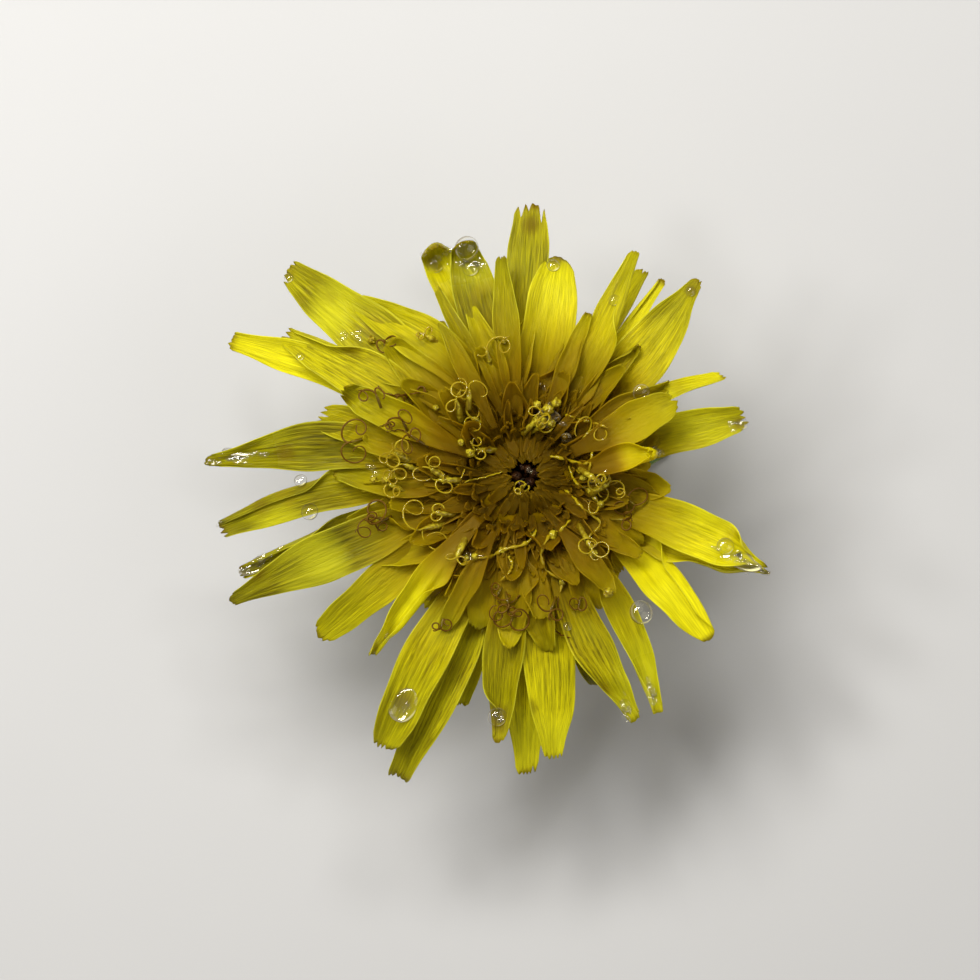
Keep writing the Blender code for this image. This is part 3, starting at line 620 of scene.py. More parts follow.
def ligule_frames(leaf, root_radius, share, curl):
    """Middle, side and normal at each share; the last stretch of the ligule turns by curl."""
    start = CURL_START if curl else 1.0
    step = 0.02
    base = np.minimum(share, start)
    middle = centre_line(leaf, root_radius, base)
    ahead = centre_line(leaf, root_radius, base + step)
    behind = centre_line(leaf, root_radius, base - step)
    forward = unit(ahead - behind)
    side = unit(np.cross(forward, UP))
    normal = np.cross(side, forward)
    if curl:
        past = np.maximum(share - start, 0.0)[..., None]
        beyond = past * (leaf.reach - root_radius)
        angle = np.radians(curl) * past / (1.0 - start)
        middle = middle + forward * beyond * np.sinc(angle / math.pi)
        middle = middle + normal * beyond * np.sin(angle / 2) * np.sinc(angle / 2 / math.pi)
        normal = normal * np.cos(angle) - forward * np.sin(angle)
    turn = np.radians(leaf.twist) * smooth_step(0.15, 0.9, share)[..., None]
    turned = side * np.cos(turn) + normal * np.sin(turn)
    return middle, turned, normal * np.cos(turn) - side * np.sin(turn)


def ligule_half_width(leaf, share):
    grown = ROOT_SHARE + (1.0 - ROOT_SHARE) * smooth_step(0.0, 0.5, share)
    start = max(0.55, 0.95 - 1.6 * leaf.tip)
    narrowed = 1.0 - (1.0 - leaf.tip) * smooth_step(start, 1.0, share)
    return leaf.width / 2 * grown * narrowed


def tooth_cuts(across, leaf, draw, deep):
    """How far back from its longest tooth a ligule ends, in millimetres, at places across it."""
    strip = (across + 1.0) / 2.0 * TEETH
    skew = draw.uniform(-0.5, 0.5)
    strip = strip + skew * np.sin((across + 1.0) * math.pi / 2.0 * draw.choice((1, 2, 3)))
    strip = np.clip(strip, 0.0, TEETH)
    nearest = np.rint(strip).astype(int)
    gap = np.abs(strip - nearest) * 2.0
    end = leaf.width * leaf.tip
    depths = [end * draw.choice(NOTCHES) * draw.uniform(0.7, 1.3) for notch in range(TEETH + 1)]
    notches = deep * np.array(depths)[nearest] * (1.0 - gap) ** 1.3
    centres = [(tooth + 0.5) * 2.0 / TEETH - 1.0 for tooth in range(TEETH)]
    lengths = [draw.uniform(0.0, 0.24) * min(deep, 1.0) for tooth in range(TEETH)]
    blunt = 1.0 + 2.0 * max(1.0 - deep, 0.0)
    rounding = leaf.width * draw.uniform(0.12, 0.22) * np.abs(across) ** 2.5 * blunt
    cuts = notches + np.interp(across, centres, lengths) + rounding
    return cuts - cuts.min()


def pleats(share, across, draw):
    """A few long shallow folds, raised or sunk, each at its own place across the blade."""
    lift = 0.0
    for fold in range(3):
        place = draw.uniform(-0.75, 0.75) + draw.uniform(-0.25, 0.25) * share
        wide = draw.uniform(0.12, 0.3)
        start = draw.uniform(0.1, 0.6)
        window = smooth_step(start, start + 0.15, share)
        window = window * (1.0 - smooth_step(start + 0.25, start + 0.5, share))
        lift = lift + draw.uniform(-0.11, 0.13) * window * np.exp(-(((across - place) / wide) ** 2))
    return lift


def chance_fold(draw):
    """Sometimes an edge that is folded over, as in the table of folds."""
    if draw.random() < FOLD_CHANCE:
        return draw.choice((-1.0, 1.0)), draw.uniform(50.0, 150.0), draw.uniform(0.35, 0.7)
    return None


def cross_section(share, across, arc, fold):
    """Sideways reach and lift over a blade of half width 1 that is cupped and may be folded."""
    turn = across * arc
    if fold:
        side, degrees, start = fold
        over = smooth_step(0.4, 0.75, across * side) * smooth_step(start, start + 0.18, share)
        turn = turn + side * math.radians(degrees) * over
    middle = (turn[:, 1:] + turn[:, :-1]) / 2.0
    step = across[0, 1] - across[0, 0]
    centre = turn.shape[1] // 2
    reach = []
    for steps in (np.cos(middle) * step, np.sin(middle) * step):
        total = np.pad(np.cumsum(steps, axis=1), ((0, 0), (1, 0)))
        reach.append(total - total[:, centre : centre + 1])
    return reach


def stain_and_shadow_at(grid, marks):
    """How dark the marks, partly stains and partly painted shadow, make each point, from their places in
    the photograph.
    """
    dark = np.zeros(grid.shape[:2])
    for x, y, wide in marks:
        gap = np.linalg.norm(grid[..., :2] - photo_place(x, y)[:2], axis=-1)
        dark = np.maximum(dark, np.exp(-((gap / wide) ** 4)))
    return dark


def blade_waves(share, across, leaf, draw, phases, stripe):
    """Lift of the blade off its smooth form: waved edges, soft waves, pleats and ribs."""
    blade = smooth_step(0.15, 0.5, share)
    edge = np.sin(13.0 * share + phases[2] + across) * 0.6 + np.sin(24.0 * share + phases[3]) * 0.3
    lift = blade * (0.09 * edge * across**2 + 0.07 * np.sin(6.0 * share + phases[4]))
    lift = lift + blade * 0.05 * np.sin(5.0 * share + 2.4 * across + phases[5])
    lift = lift + pleats(share, across, draw)
    count = min(draw.uniform(*RIBS), across.shape[1] / 3.0)
    bend = 3.0 * np.sin(across * 3.0 + phases[0]) + 1.2 * np.sin(5.0 * share)
    ribs = np.cos(math.pi * count * across + bend)
    strength = (0.6 + 0.5 * np.sin(4.0 * across + phases[3] + 3.0 * share)) * (0.6 + stripe)
    return lift + RIB_HEIGHT * (leaf.reach / 14.0) ** 2 * ribs * blade * strength


def add_ligule(shape, leaf, root_radius, grain, draw, traits, marks=(), deep=1.0):
    """A thin ligule with its teeth, folds, cupped or rolled edges and soft waves."""
    rows, columns = grain
    across = np.broadcast_to(np.linspace(-1.0, 1.0, columns), (rows, columns))
    even = np.linspace(0.0, 1.0, rows)[:, None]
    even = even + 0.12 * np.sin(2.0 * math.pi * even) / (2.0 * math.pi)
    cuts = tooth_cuts(across, leaf, draw, deep) / (leaf.reach - root_radius)
    share = even - smooth_step(0.75, 1.0, even) * cuts
    middle, side, normal = ligule_frames(leaf, root_radius, share, traits.curl)
    phases = [draw.uniform(0.0, 2.0 * math.pi) for wave in range(6)]
    uneven = 0.05 * np.sin(9.0 * share + phases[0] + across) + 0.03 * np.sin(21.0 * share + phases[1])
    half = ligule_half_width(leaf, share) * (1.0 + uneven) * (1.0 - 0.22 * smooth_step(0.78, 1.0, share))
    arc = 4.0 * leaf.cup / leaf.width * smooth_step(0.0, 0.3, share)
    arc = arc + math.radians(traits.roll) * smooth_step(0.5, 1.0, share)
    sideways, lift = cross_section(share, across, arc, traits.fold)
    lift = half * lift + blade_waves(share, across, leaf, draw, phases, traits.stripe)
    swollen = traits.wet * smooth_step(0.62, 0.8, share)
    lumps = np.sin(17.0 * share + phases[0]) * np.sin(4.0 * across + phases[1])
    lumps = lumps + np.sin(31.0 * share + phases[2] + 3.0 * across)
    lift = lift + 0.06 * swollen * lumps
    grid = middle + side * (half * sideways)[..., None] + normal * lift[..., None]
    thick = HALF_THICK * (1.0 - 0.6 * np.abs(across) ** 4) * (1.0 - 0.4 * smooth_step(0.85, 1.0, share))
    thick = thick + 0.04 * swollen * (1.0 + 0.5 * lumps) * (1.0 - across**2)
    look = dict(stripe=traits.stripe, shine=traits.shine, wet=traits.wet, dark=stain_and_shadow_at(grid, marks))
    reach = np.linalg.norm(grid[..., :2], axis=-1) / REACH_UNIT
    add_shell(shape, grid, thick, along=share, across=across, reach=reach, tint=draw.random(), **look)


def inner_ligule(index, draw):
    """One of the shorter ligules that fill the head, the inner ones shorter and steeper."""
    inward = index / (INNER_LIGULES - 1)
    rise = spread(INNER_RISE, inward) + draw.uniform(-0.3, 0.3)
    return Ligule(
        azimuth=index * GOLDEN_ANGLE + draw.uniform(-7.0, 7.0),
        reach=spread(INNER_REACH, inward) + draw.uniform(-0.6, 0.6),
        width=draw.uniform(1.4, 1.9),
        swing=draw.uniform(-6.0, 6.0),
        bow=draw.uniform(-0.2, 0.2),
        level=spread(INNER_HEIGHT, inward) - ROOT_HEIGHT,
        arch=0.3,
        drop=-rise,
        twist=draw.uniform(-25.0, 25.0),
        cup=draw.uniform(0.25, 0.45),
        tip=draw.uniform(0.6, 0.85),
    )


def fill_ligule(index, draw):
    """One of the ligules that lie between the others, all round the head."""
    inward = index / (FILL_LIGULES - 1)
    azimuth = index * GOLDEN_ANGLE + 70.0 + draw.uniform(-6.0, 6.0)
    limits = [limit for gap, limit in FILL_GAPS if (azimuth - gap + 10.0) % 360.0 < 20.0]
    return Ligule(
        azimuth=azimuth,
        reach=min(spread(FILL_REACH, inward**1.2) + draw.uniform(-0.7, 0.6), *limits, FILL_LONGEST),
        width=spread(FILL_WIDTH, inward) * draw.uniform(0.85, 1.1),
        swing=draw.uniform(-7.0, 7.0),
        bow=draw.uniform(-0.3, 0.3),
        level=spread(FILL_LEVEL, inward) + draw.uniform(-0.1, 0.1),
        arch=0.35,
        drop=-spread(FILL_RISE, inward**2) + draw.uniform(-0.25, 0.25),
        twist=draw.uniform(-12.0, 12.0),
        cup=draw.uniform(0.15, 0.35),
        tip=draw.uniform(0.45, 0.8),
    )


def upper_ligule(azimuth, reach, draw):
    """A short ligule with a ragged, turned tip on top of the long ones."""
    return Ligule(
        azimuth=azimuth + draw.uniform(-3.0, 3.0),
        reach=reach,
        width=draw.uniform(1.4, 2.2),
        swing=draw.uniform(-12.0, 12.0),
        bow=draw.uniform(-0.4, 0.4),
        level=draw.uniform(1.15, 1.45),
        arch=draw.uniform(0.3, 0.6),
        drop=draw.uniform(-0.1, 0.5),
        twist=draw.uniform(-25.0, 25.0),
        cup=draw.uniform(0.2, 0.45),
        tip=draw.uniform(0.5, 0.9),
    )


def vein_strength(graph):
    """How strongly the veins show: less on the brighter petals."""
    return 1.6 - graph.fields("shine")[0] * 0.6


def petal_ground(graph, outer, streaks, bands, patches):
    """The colour of a petal by its reach, darker towards the middle partly as painted shade, with broad
    unevenness in its brightness and light and shade painted on each ligule.
    """
    along, tint, reach, bright = graph.fields("along", "tint", "reach", "shine")
    shine = (bright - 1.0) * graph.mask(along, 0.2, 0.6) * graph.mask(reach, 0.29, 0.36) + 1.0
    zone = reach + (streaks + patches - 1.0) * 0.12 + (graph.rays(7.0) - 0.5) * 0.22 + (shine - 1.0) * 0.3
    # Painted shade: the ramp darkens to brown towards the deep middle, on top of the florets' own deeper
    # amber
    colour = graph.add("ValToRGB", {"stops": PETAL_STOPS}, {"Fac": zone}, "Color")
    uneven = (graph.mask(tint, 0.0, 1.0) - 0.5) * 0.4 + (graph.noise(150.0) - 0.5) * 0.9
    uneven = (uneven + (bands - 0.5) * 1.1) * vein_strength(graph)
    # Painted light and shade: each ligule's brightness value makes it lighter or darker, as the light
    # falls on it
    shade = (1.0 + (uneven * 1.9 - 0.22) * outer) * shine
    return graph.mix(1.0, colour, graph.vector(shade, shade, shade), "MULTIPLY")


def petal_marks(graph, outer, streaks, fine, bands, patches, line):
    """What lies over a petal's own colour: grooves, veins, dark marks that are partly stains and partly
    painted shadow, worn tips, pale patches and a painted highlight along the edges.
    """
    along, across, stripe, dark = graph.fields("along", "across", "stripe", "dark")
    broken = graph.mask(graph.veins(2.5, 1.2, 40.0, 3.0, 2.0), 0.4, 0.6)
    groove = graph.mask(line, 0.16, 0.0) * outer * broken
    slit = graph.mask(line, 0.24, 0.08) * graph.mask(streaks, 0.4, 0.56) * stripe
    knots = graph.mask(along, 0.95, 0.995) * graph.mask(patches + fine * 0.5, 0.7, 0.82)
    # Painted highlight along the edges of the outer ligules
    edge = graph.mask(abs(across), 0.93, 0.99) * outer
    pale = graph.mask(graph.noise(190.0, 1.0), 0.48, 0.72) * outer
    return (
        (groove * (stripe * 0.6 + 0.25), (0.2, 0.145, 0.001)),
        (graph.mask(fine, 0.5, 0.66) * vein_strength(graph) * 0.5, (0.26, 0.2, 0.001)),
        (graph.mask(fine, 0.42, 0.3) * outer * 0.5, (0.78, 0.74, 0.02)),
        (slit * graph.mask(along, 0.95, 0.8) * 0.85, (0.06, 0.035, 0.001)),
        # Dark marks from the table: partly brown stains, partly painted shadow
        (dark * graph.mask(fine, 0.2, 0.5) * 0.75, (0.11, 0.052, 0.001)),
        (graph.mask(patches, 0.58, 0.74) * outer * 0.5, (0.3, 0.22, 0.001)),
        (graph.mask(along, 0.96, 1.0) * outer * bands * 0.4, (0.3, 0.18, 0.004)),
        (knots * outer * 0.8, (0.12, 0.05, 0.002)),
        # Painted highlight: a thin bright line along the edges
        (edge * 0.5, (0.8, 0.78, 0.04)),
        (pale * 0.55, (0.72, 0.7, 0.014)),
    )


def ligule_material():
    """Lemon-yellow petal: deep amber towards the heart, partly its own colour and partly painted shade,
    fine veins, wet patches, lit through.
    """
    graph = Graph("petal_lemon")
    along, across, tint, reach, wet = graph.fields("along", "across", "tint", "reach", "wet")
    outer = graph.mask(reach, 0.4, 0.62)
    streaks = graph.veins(2.5, 1.2, 40.0, 5.0, 3.0, 0.6)
    fine = graph.veins(22.0, 1.6, 60.0, 2.4, 3.0, 0.6)
    bands = graph.veins(6.0, 2.2, 30.0, 3.4, 2.0)
    patches = graph.noise(420.0)
    line = abs(graph.maths("FRACT", across * 5.0 + (streaks - 0.5) * 3.0 + tint * 9.0) - 0.5)
    marks = petal_marks(graph, outer, streaks, fine, bands, patches, line)
    damp = graph.mask(patches, 0.5, 0.62) * 0.5
    damp = graph.maths("MAXIMUM", damp, wet * graph.mask(along, 0.62, 0.8))
    skin = graph.principled(
        Base_Color=graph.paint(petal_ground(graph, outer, streaks, bands, patches), *marks),
        Roughness=0.45 - damp * 0.32,
        IOR=1.45,
        Specular_IOR_Level=0.5,
        Specular_Tint=(1.0, 0.95, 0.35, 1.0),
        Normal=graph.bump((fine + line * 0.4 + streaks) * vein_strength(graph), 0.9, 0.00005),
    )
    amber, lemon = graph.glow(0.58, 0.42, 0.001), graph.glow(0.74, 0.68, 0.002)
    lit = graph.blend(graph.mask(reach, 0.25, 0.6), amber, lemon)
    return graph.finish(graph.blend(0.6 - outer * 0.24, skin, lit))


def heart_material():
    """The dull amber mass that the florets grow from, painted dark: partly its own colour, partly painted
    shade of the deep middle.
    """
    graph = Graph("heart_amber")
    mottle = graph.noise(900.0, 4.0)
    skin = graph.principled(
        # Painted shade: a dark amber where the mass shows deep between the florets
        Base_Color=graph.mix(graph.mask(mottle, 0.35, 0.65), (0.06, 0.034, 0.0003), (0.12, 0.07, 0.0005)),
        Roughness=mottle * 0.2 + 0.8,
        Specular_IOR_Level=0.0,
        Normal=graph.bump(mottle, 0.4, 0.00004),
    )
    return graph.finish(skin)


def bract_material():
    """Green bract with darker veins, a pale thin margin and a purple-brown tip."""
    graph = Graph("bract_green")
    along, across, tint = graph.fields("along", "across", "tint")
    fine = graph.veins(18.0, 3.0, 50.0, 2.2)
    mottle = graph.noise(500.0, 3.0)
    colour = graph.paint(
        graph.mix(graph.mask(fine, 0.3, 0.7), (0.05, 0.1, 0.015), (0.17, 0.27, 0.05)),
        (graph.mask(mottle, 0.45, 0.7) * 0.5, (0.26, 0.34, 0.1)),
        (graph.mask(graph.noise(3500.0), 0.62, 0.72) * 0.5, (0.42, 0.48, 0.26)),
        (graph.mask(abs(across), 0.16, 0.03) * 0.5, (0.3, 0.38, 0.13)),
        (graph.mask(tint, 0.0, 1.0) * 0.35, (0.1, 0.17, 0.03)),
        (graph.mask(abs(across), 0.8, 0.98) * 0.6, (0.42, 0.46, 0.2)),
        (graph.mask(along, 0.82, 1.0) * 0.7, (0.16, 0.07, 0.05)),
    )
    bump = graph.bump(fine, 0.6, 0.00005)
    skin = graph.principled(Base_Color=colour, Roughness=mottle * 0.2 + 0.4, Normal=bump)
    return graph.finish(graph.blend(0.12, skin, graph.glow(0.25, 0.38, 0.04)))


def stalk_material():
    """Pale stalk: green above, pinkish towards the cut, with long faint ribs."""
    graph = Graph("stalk_pale")
    height = graph.add("SeparateXYZ", None, {0: graph.place()}, 2)
    ribs = graph.noise(900.0, 3.0, graph.place((1.0, 1.0, 0.12)))
    mottle = graph.noise(700.0, 3.0)
    colour = graph.paint(
        graph.mix(graph.mask(height, 0.0, 0.0034), (0.5, 0.34, 0.2), (0.36, 0.42, 0.13)),
        (graph.mask(ribs, 0.4, 0.65) * 0.45, (0.56, 0.52, 0.27)),
        (graph.mask(mottle, 0.55, 0.75) * 0.3, (0.42, 0.2, 0.13)),
    )
    skin = graph.principled(
        Base_Color=colour,
        Roughness=mottle * 0.2 + 0.35,
        Subsurface_Weight=0.25,
        Subsurface_Scale=0.0006,
        Normal=graph.bump(ribs, 0.5, 0.00006),
    )
    return graph.finish(skin)


def thread_material():
    """Translucent golden thread of a style, browner where it is thin."""
    graph = Graph("style_gold")
    along, tint = graph.fields("along", "tint")
    grain = graph.noise(2600.0)
    golden = graph.mask(tint, 0.35, 0.65)
    colour = graph.paint(
        graph.mix(golden, (0.085, 0.036, 0.0008), (0.42, 0.32, 0.004)),
        (graph.mask(along, 0.0, 0.8) * golden * 0.4, (0.26, 0.14, 0.003)),
        (graph.mask(grain, 0.55, 0.7) * golden * 0.4, (0.7, 0.58, 0.04)),
    )
    skin = graph.principled(
        Base_Color=colour,
        Roughness=grain * 0.2 + 0.3,
        Specular_IOR_Level=0.3,
        Specular_Tint=(1.0, 0.85, 0.3, 1.0),
        Coat_Weight=golden * 0.8,
        Coat_Roughness=0.08,
        Normal=graph.bump(grain, 0.6, 0.00003),
    )
    return graph.finish(graph.blend(golden * 0.4, skin, graph.glow(0.6, 0.46, 0.01)))


def pollen_material():
    """Wet, grainy yellow of the anther tubes and knots, brown where their tint is low."""
    graph = Graph("pollen_yellow")
    along, tint = graph.fields("along", "tint")
    grain = graph.noise(5200.0)
    colour = graph.mix(graph.mask(grain, 0.4, 0.62), (0.26, 0.18, 0.002), (0.6, 0.5, 0.02))
    colour = graph.mix(graph.mask(along, 0.7, 0.1) * 0.6, colour, (0.14, 0.08, 0.0006))
    skin = graph.principled(
        Base_Color=graph.mix(tint, (0.1, 0.055, 0.001), colour),
        Roughness=grain * 0.2 + 0.3,
        Specular_IOR_Level=0.5,
        Specular_Tint=(1.0, 0.95, 0.4, 1.0),
        Coat_Weight=0.6,
        Coat_Roughness=0.06,
        Normal=graph.bump(grain, 0.8, 0.00006),
    )
    return graph.finish(graph.blend(0.35, skin, graph.glow(0.4, 0.28, 0.002)))


def bud_material():
    """Dark plum-brown buds, wet and shining."""
    graph = Graph("bud_plum")
    mottle = graph.noise(2400.0, 3.0)
    skin = graph.principled(
        Base_Color=graph.mix(graph.mask(mottle, 0.35, 0.65), (0.006, 0.002, 0.0015), (0.03, 0.011, 0.003)),
        Roughness=mottle * 0.2 + 0.25,
        Specular_IOR_Level=0.2,
        Specular_Tint=(1.0, 0.7, 0.4, 1.0),
        Coat_Weight=0.08,
        Coat_Roughness=0.05,
        Normal=graph.bump(mottle, 0.6, 0.00003),
    )
    return graph.finish(skin)


def water_material():
    """Clear dew, with a painted dark rim that stands in for a dark reflection, and a painted bright
    crescent on the side away from the light.
    """
    graph = Graph("dew_water")
    rim, lit, body = graph.fields("rim", "lit", "body")
    # Painted reflection: a dark rim round each bead
    rim = graph.mask(rim, 0.62, 0.98)
    # Painted light: a bright crescent where the bead would gather the light
    lit = graph.mask(lit, 0.3, 0.8)
    colour = graph.mix(rim, (1.0, 0.95, 0.7), (0.11, 0.07, 0.006))
    skin = graph.principled(
        Base_Color=graph.mix(lit, colour, (0.95, 0.9, 0.4)),
        Metallic=1.0 - graph.maths("MAXIMUM", rim, lit),
        Roughness=0.03,
        Coat_Weight=1.0,
        Coat_Roughness=0.02,
    )
    clear = graph.add("BsdfTransparent", None, {"Color": (1.0, 1.0, 1.0, 1.0)})
    slant = graph.add("LayerWeight", None, {"Blend": 0.5}, "Facing")
    filled = graph.maths("MAXIMUM", rim * 0.72, lit * 0.8) * body
    mirrored = slant**4 * 0.6 + 0.06
    return graph.finish(graph.blend(graph.maths("MAXIMUM", mirrored, filled), clear, skin))


def outer_ligules(name, indices, petal, draw):
    shape = Shape(*PETAL_FIELDS)
    for index in indices:
        traits = Traits(
            curl=CURLS.get(index, draw.uniform(-20.0, 20.0)),
            roll=ROLLS.get(index, draw.uniform(0.0, 15.0)),
            stripe=STRIPES.get(index, 0.15),
            shine=PAINTED_LIGHT_LEVELS.get(index, 1.0),
            wet=WETS.get(index, 0.0),
            fold=FOLDS.get(index),
        )
        marks, deep = STAINS_AND_PAINTED_SHADOWS.get(index, ()), DEEP_TEETH.get(index, 1.0)
        add_ligule(shape, OUTER_LIGULES[index], ROOT_RADIUS, OUTER_GRID, draw, traits, marks, deep)
    return shape.finish(name, petal, "petal", "florets")


def inner_ligules(petal, draw):
    shape = Shape(*PETAL_FIELDS)
    rule = random.Random(SEED)
    for index in range(INNER_LIGULES):
        leaf = inner_ligule(index, rule)
        root = spread(INNER_ROOT, index / (INNER_LIGULES - 1))
        traits = Traits(draw.uniform(-20.0, 50.0), roll=25.0, stripe=0.1)
        add_ligule(shape, leaf, root, INNER_GRID, draw, traits)
    return shape.finish("ligules_inner", petal, "petal", "florets")


def upper_ligules(petal, draw):
    shape = Shape(*PETAL_FIELDS)
    for azimuth, reach in UPPER_LIGULES:
        curl, roll = draw.uniform(-50.0, 70.0), draw.uniform(10.0, 60.0)
        traits = Traits(curl, roll, 0.3, draw.uniform(0.85, 1.15), 0.3, chance_fold(draw))
        leaf = upper_ligule(azimuth, reach, draw)
        add_ligule(shape, leaf, UPPER_ROOT, UPPER_GRID, draw, traits)
    return shape.finish("ligules_upper", petal, "petal", "florets")


def fill_ligules(petal, draw):
    shape = Shape(*PETAL_FIELDS)
    for index in range(FILL_LIGULES):
        leaf = fill_ligule(index, draw)
        root = spread(FILL_ROOT, index / (FILL_LIGULES - 1))
        traits = Traits(draw.uniform(-30.0, 40.0), roll=15.0, stripe=0.2, fold=chance_fold(draw))
        add_ligule(shape, leaf, root, FILL_GRID, draw, traits)
    return shape.finish("ligules_fill", petal, "petal", "florets")


def make_ligules(petal):
    draw = random.Random(SEED + 1)
    count = len(OUTER_LIGULES)
    east = outer_ligules("ligules_east", range(count // 2), petal, draw)
    west = outer_ligules("ligules_west", range(count // 2, count), petal, draw)
    inner = inner_ligules(petal, draw)
    upper = upper_ligules(petal, draw)
    return [east, west, inner, upper, fill_ligules(petal, draw)]


def make_heart():
    def ribs(angles, radius, height):
        return 0.12 * np.cos(angles * 22.0 + height * 0.4) * min(radius / 4.0, 1.0)

    shape = Shape()
    add_turned(shape, HEART_PROFILE, HEART_SIDES, ribs)
    return shape.finish("florets_heart", heart_material(), "petal", "florets")


def surface_under(pieces):
    """A tree of the faces of some pieces, to find their height below any point."""
    points = []
    faces = []
    for piece in pieces:
        first = len(points)
        points.extend(vertex.co.copy() for vertex in piece.data.vertices)
        faces.extend([corner + first for corner in face.vertices] for face in piece.data.polygons)
    return BVHTree.FromPolygons(points, faces)


def height_at(tree, place):
    """Height of the surface below a place about the axis, and its normal; millimetres."""
    start = Vector((place + AXIS / MM + UP * 40.0) * MM)
    point, normal, _, _ = tree.ray_cast(start, Vector((0.0, 0.0, -1.0)))
    if point is None:
        return None, None
    return point.z / MM, np.array(normal)


def nearest_height(tree, place):
    """Height and normal below a place, or below the nearest spot round it that has a surface."""
    for gap in (0.0, 0.1, 0.2, 0.3, 0.4, 0.5, 0.7, 1.0):
        for azimuth in range(0, 360, 30):
            floor, normal = height_at(tree, place + direction(azimuth) * gap)
            if floor is not None:
                return floor, normal
    return ROOT_HEIGHT, UP


def smooth_curve(knots, shares):
    """Points at shares of a smooth curve through knots."""
    knots = np.array([knots[0], *knots, knots[-1]], float)
    last = len(knots) - 3
    index = np.minimum((shares * last).astype(int), last - 1)
    part = (shares * last - index)[:, None]
    before, start, end, after = (knots[index + step] for step in range(4))
    bend = 2.0 * before - 5.0 * start + 4.0 * end - after
    sharp = 3.0 * start - before - 3.0 * end + after
    return start + ((end - before) * part + bend * part**2 + sharp * part**3) / 2.0


def add_curl(shape, end, forward, hand, size, lean, draw, tint):
    """One branch of a style: a thread that winds into a loose loop from the end of the rod."""
    wound = draw.uniform(0.65, 1.35) if draw.random() < 0.75 else draw.uniform(1.6, 2.1)
    count = int(24 * wound) + 6
    share = np.linspace(0.0, 1.0, count)
    heading = math.atan2(forward[1], forward[0]) + hand * math.radians(draw.uniform(-25.0, 60.0))
    phase = draw.uniform(0.0, 2.0 * math.pi)
    angle = heading + hand * wound * 2.0 * math.pi * (share + 0.05 * np.sin(share * 9.0 + phase))
    narrowing = draw.uniform(0.25, 0.55) * wound
    step = size * (1.2 - narrowing * share) * wound * 2.0 * math.pi / count
    step = step * (1.0 + 0.2 * np.sin(share * wound * 11.0 + phase))
    x = np.cumsum(np.cos(angle) * step)
    y = np.cumsum(np.sin(angle) * step)
    tilt = math.radians(lean + 15.0) * draw.uniform(0.3, 1.0)
    facing = draw.uniform(0.0, 2.0 * math.pi)
    slope = (x * math.cos(facing) + y * math.sin(facing)) * math.sin(tilt)
    shrink = slope * 0.4 * math.sin(tilt)
    x, y = x - shrink * math.cos(facing), y - shrink * math.sin(facing)
    rise = np.maximum(slope, -0.15) + draw.uniform(0.05, 0.4) * share * wound
    path = np.concatenate([[end - forward * 0.15, end], end + np.stack([x, y, rise], 1)])
    thin = THREAD * draw.uniform(0.85, 1.15) * np.linspace(1.15, 0.7, len(path))
    thin[-1] *= 0.6
    add_tube(shape, path, thin, THREAD_SIDES, along=np.linspace(0.0, 1.0, len(path)), tint=tint)


def add_style(curls, rods, tree, place, draw):
    """An anther tube that ends in a pair of curls."""
    x, y, gold, size, lean = place
    spot = photo_place(x, y)
    off_axis = np.linalg.norm(spot) > 1.0
    outward = unit(spot) if off_axis else direction(draw.uniform(0.0, 360.0))
    turned = unit(outward + np.cross(UP, outward) * draw.uniform(-0.8, 0.8))
    end = spot - turned * size * 0.8
    floor, _ = height_at(tree, end)
    end = end + UP * ((floor or HEAD_HEIGHT) + draw.uniform(0.25, 0.5))
    length = draw.uniform(0.9, 1.5) if gold > 0.5 else draw.uniform(0.7, 1.1)
    start = end - turned * length - UP * length * draw.uniform(0.5, 0.9)
    shares = np.linspace(0.0, 1.0, ROD_RINGS)
    path = start + (end - start) * shares[:, None] + UP * (0.12 * np.sin(shares * math.pi))[:, None]
    thick = ROD_RADIUS if gold > 0.5 else ROD_RADIUS * 0.5
    taper = np.interp(shares, (0.0, 0.72, 0.92, 1.0), (1.0, 1.0, 0.7, 0.3))
    lumps = np.array([draw.uniform(0.85, 1.15) for share in shares])
    add_tube(rods, path, thick * taper * lumps, ROD_SIDES, along=shares, tint=gold)
    forward = unit(turned + UP * 0.2)
    for hand in (-1.0, 1.0):
        add_curl(curls, end, forward, hand, size * draw.uniform(0.75, 1.1), lean, draw, gold)


def add_loose_style(shape, tree, style, draw):
    """A long thread, some of them beaded, that lies over whatever is below it."""
    gold, radius, beads, pixels = style
    shares = np.linspace(0.0, 1.0, (len(pixels) - 1) * 7 + 1)
    path = smooth_curve([photo_place(*pixel) for pixel in pixels], shares)
    floors = [height_at(tree, spot)[0] or LOOSE_HEIGHT for spot in path]
    path[:, 2] = np.array(floors) + radius + 0.06
    path[:, :2] += np.array([[draw.uniform(-0.03, 0.03) for axis in "xy"] for place in path])
    path[:, 2] = np.convolve(np.pad(path[:, 2], 3, "edge"), np.full(7, 1.0 / 7.0), "valid")
    bulge = np.sin((shares + 0.04 * np.sin(shares * 13.0)) * beads * 2.0 * math.pi)
    beaded = 1.0 + 0.45 * bulge * (beads > 0)
    beaded = beaded * np.array([draw.uniform(0.8, 1.15) for place in path])
    ends = np.clip(np.minimum(shares, 1.0 - shares) * 14.0 + 0.35, 0.0, 1.0)
    thick = radius * LOOSE_SHARE * beaded * ends
    add_tube(shape, path, thick, THREAD_SIDES, along=shares, tint=gold)


def make_styles(tree):
    draw = random.Random(SEED + 2)
    curls = Shape("along", "tint")
    rods = Shape("along", "tint")
    for place in CURL_PLACES:
        add_style(curls, rods, tree, place, draw)
    for x, y, radius, gold in BUBBLES:
        spot = photo_place(x, y)
        floor, _ = height_at(tree, spot)
        add_lump(rods, spot + UP * ((floor or HEAD_HEIGHT) + radius * 0.5), radius, draw, gold)
    for style in LOOSE_STYLES:
        add_loose_style(curls, tree, style, draw)
    curls.finish("style_curls", thread_material(), "petal", "florets")
    rods.finish("anther_tubes", pollen_material(), "petal", "florets")


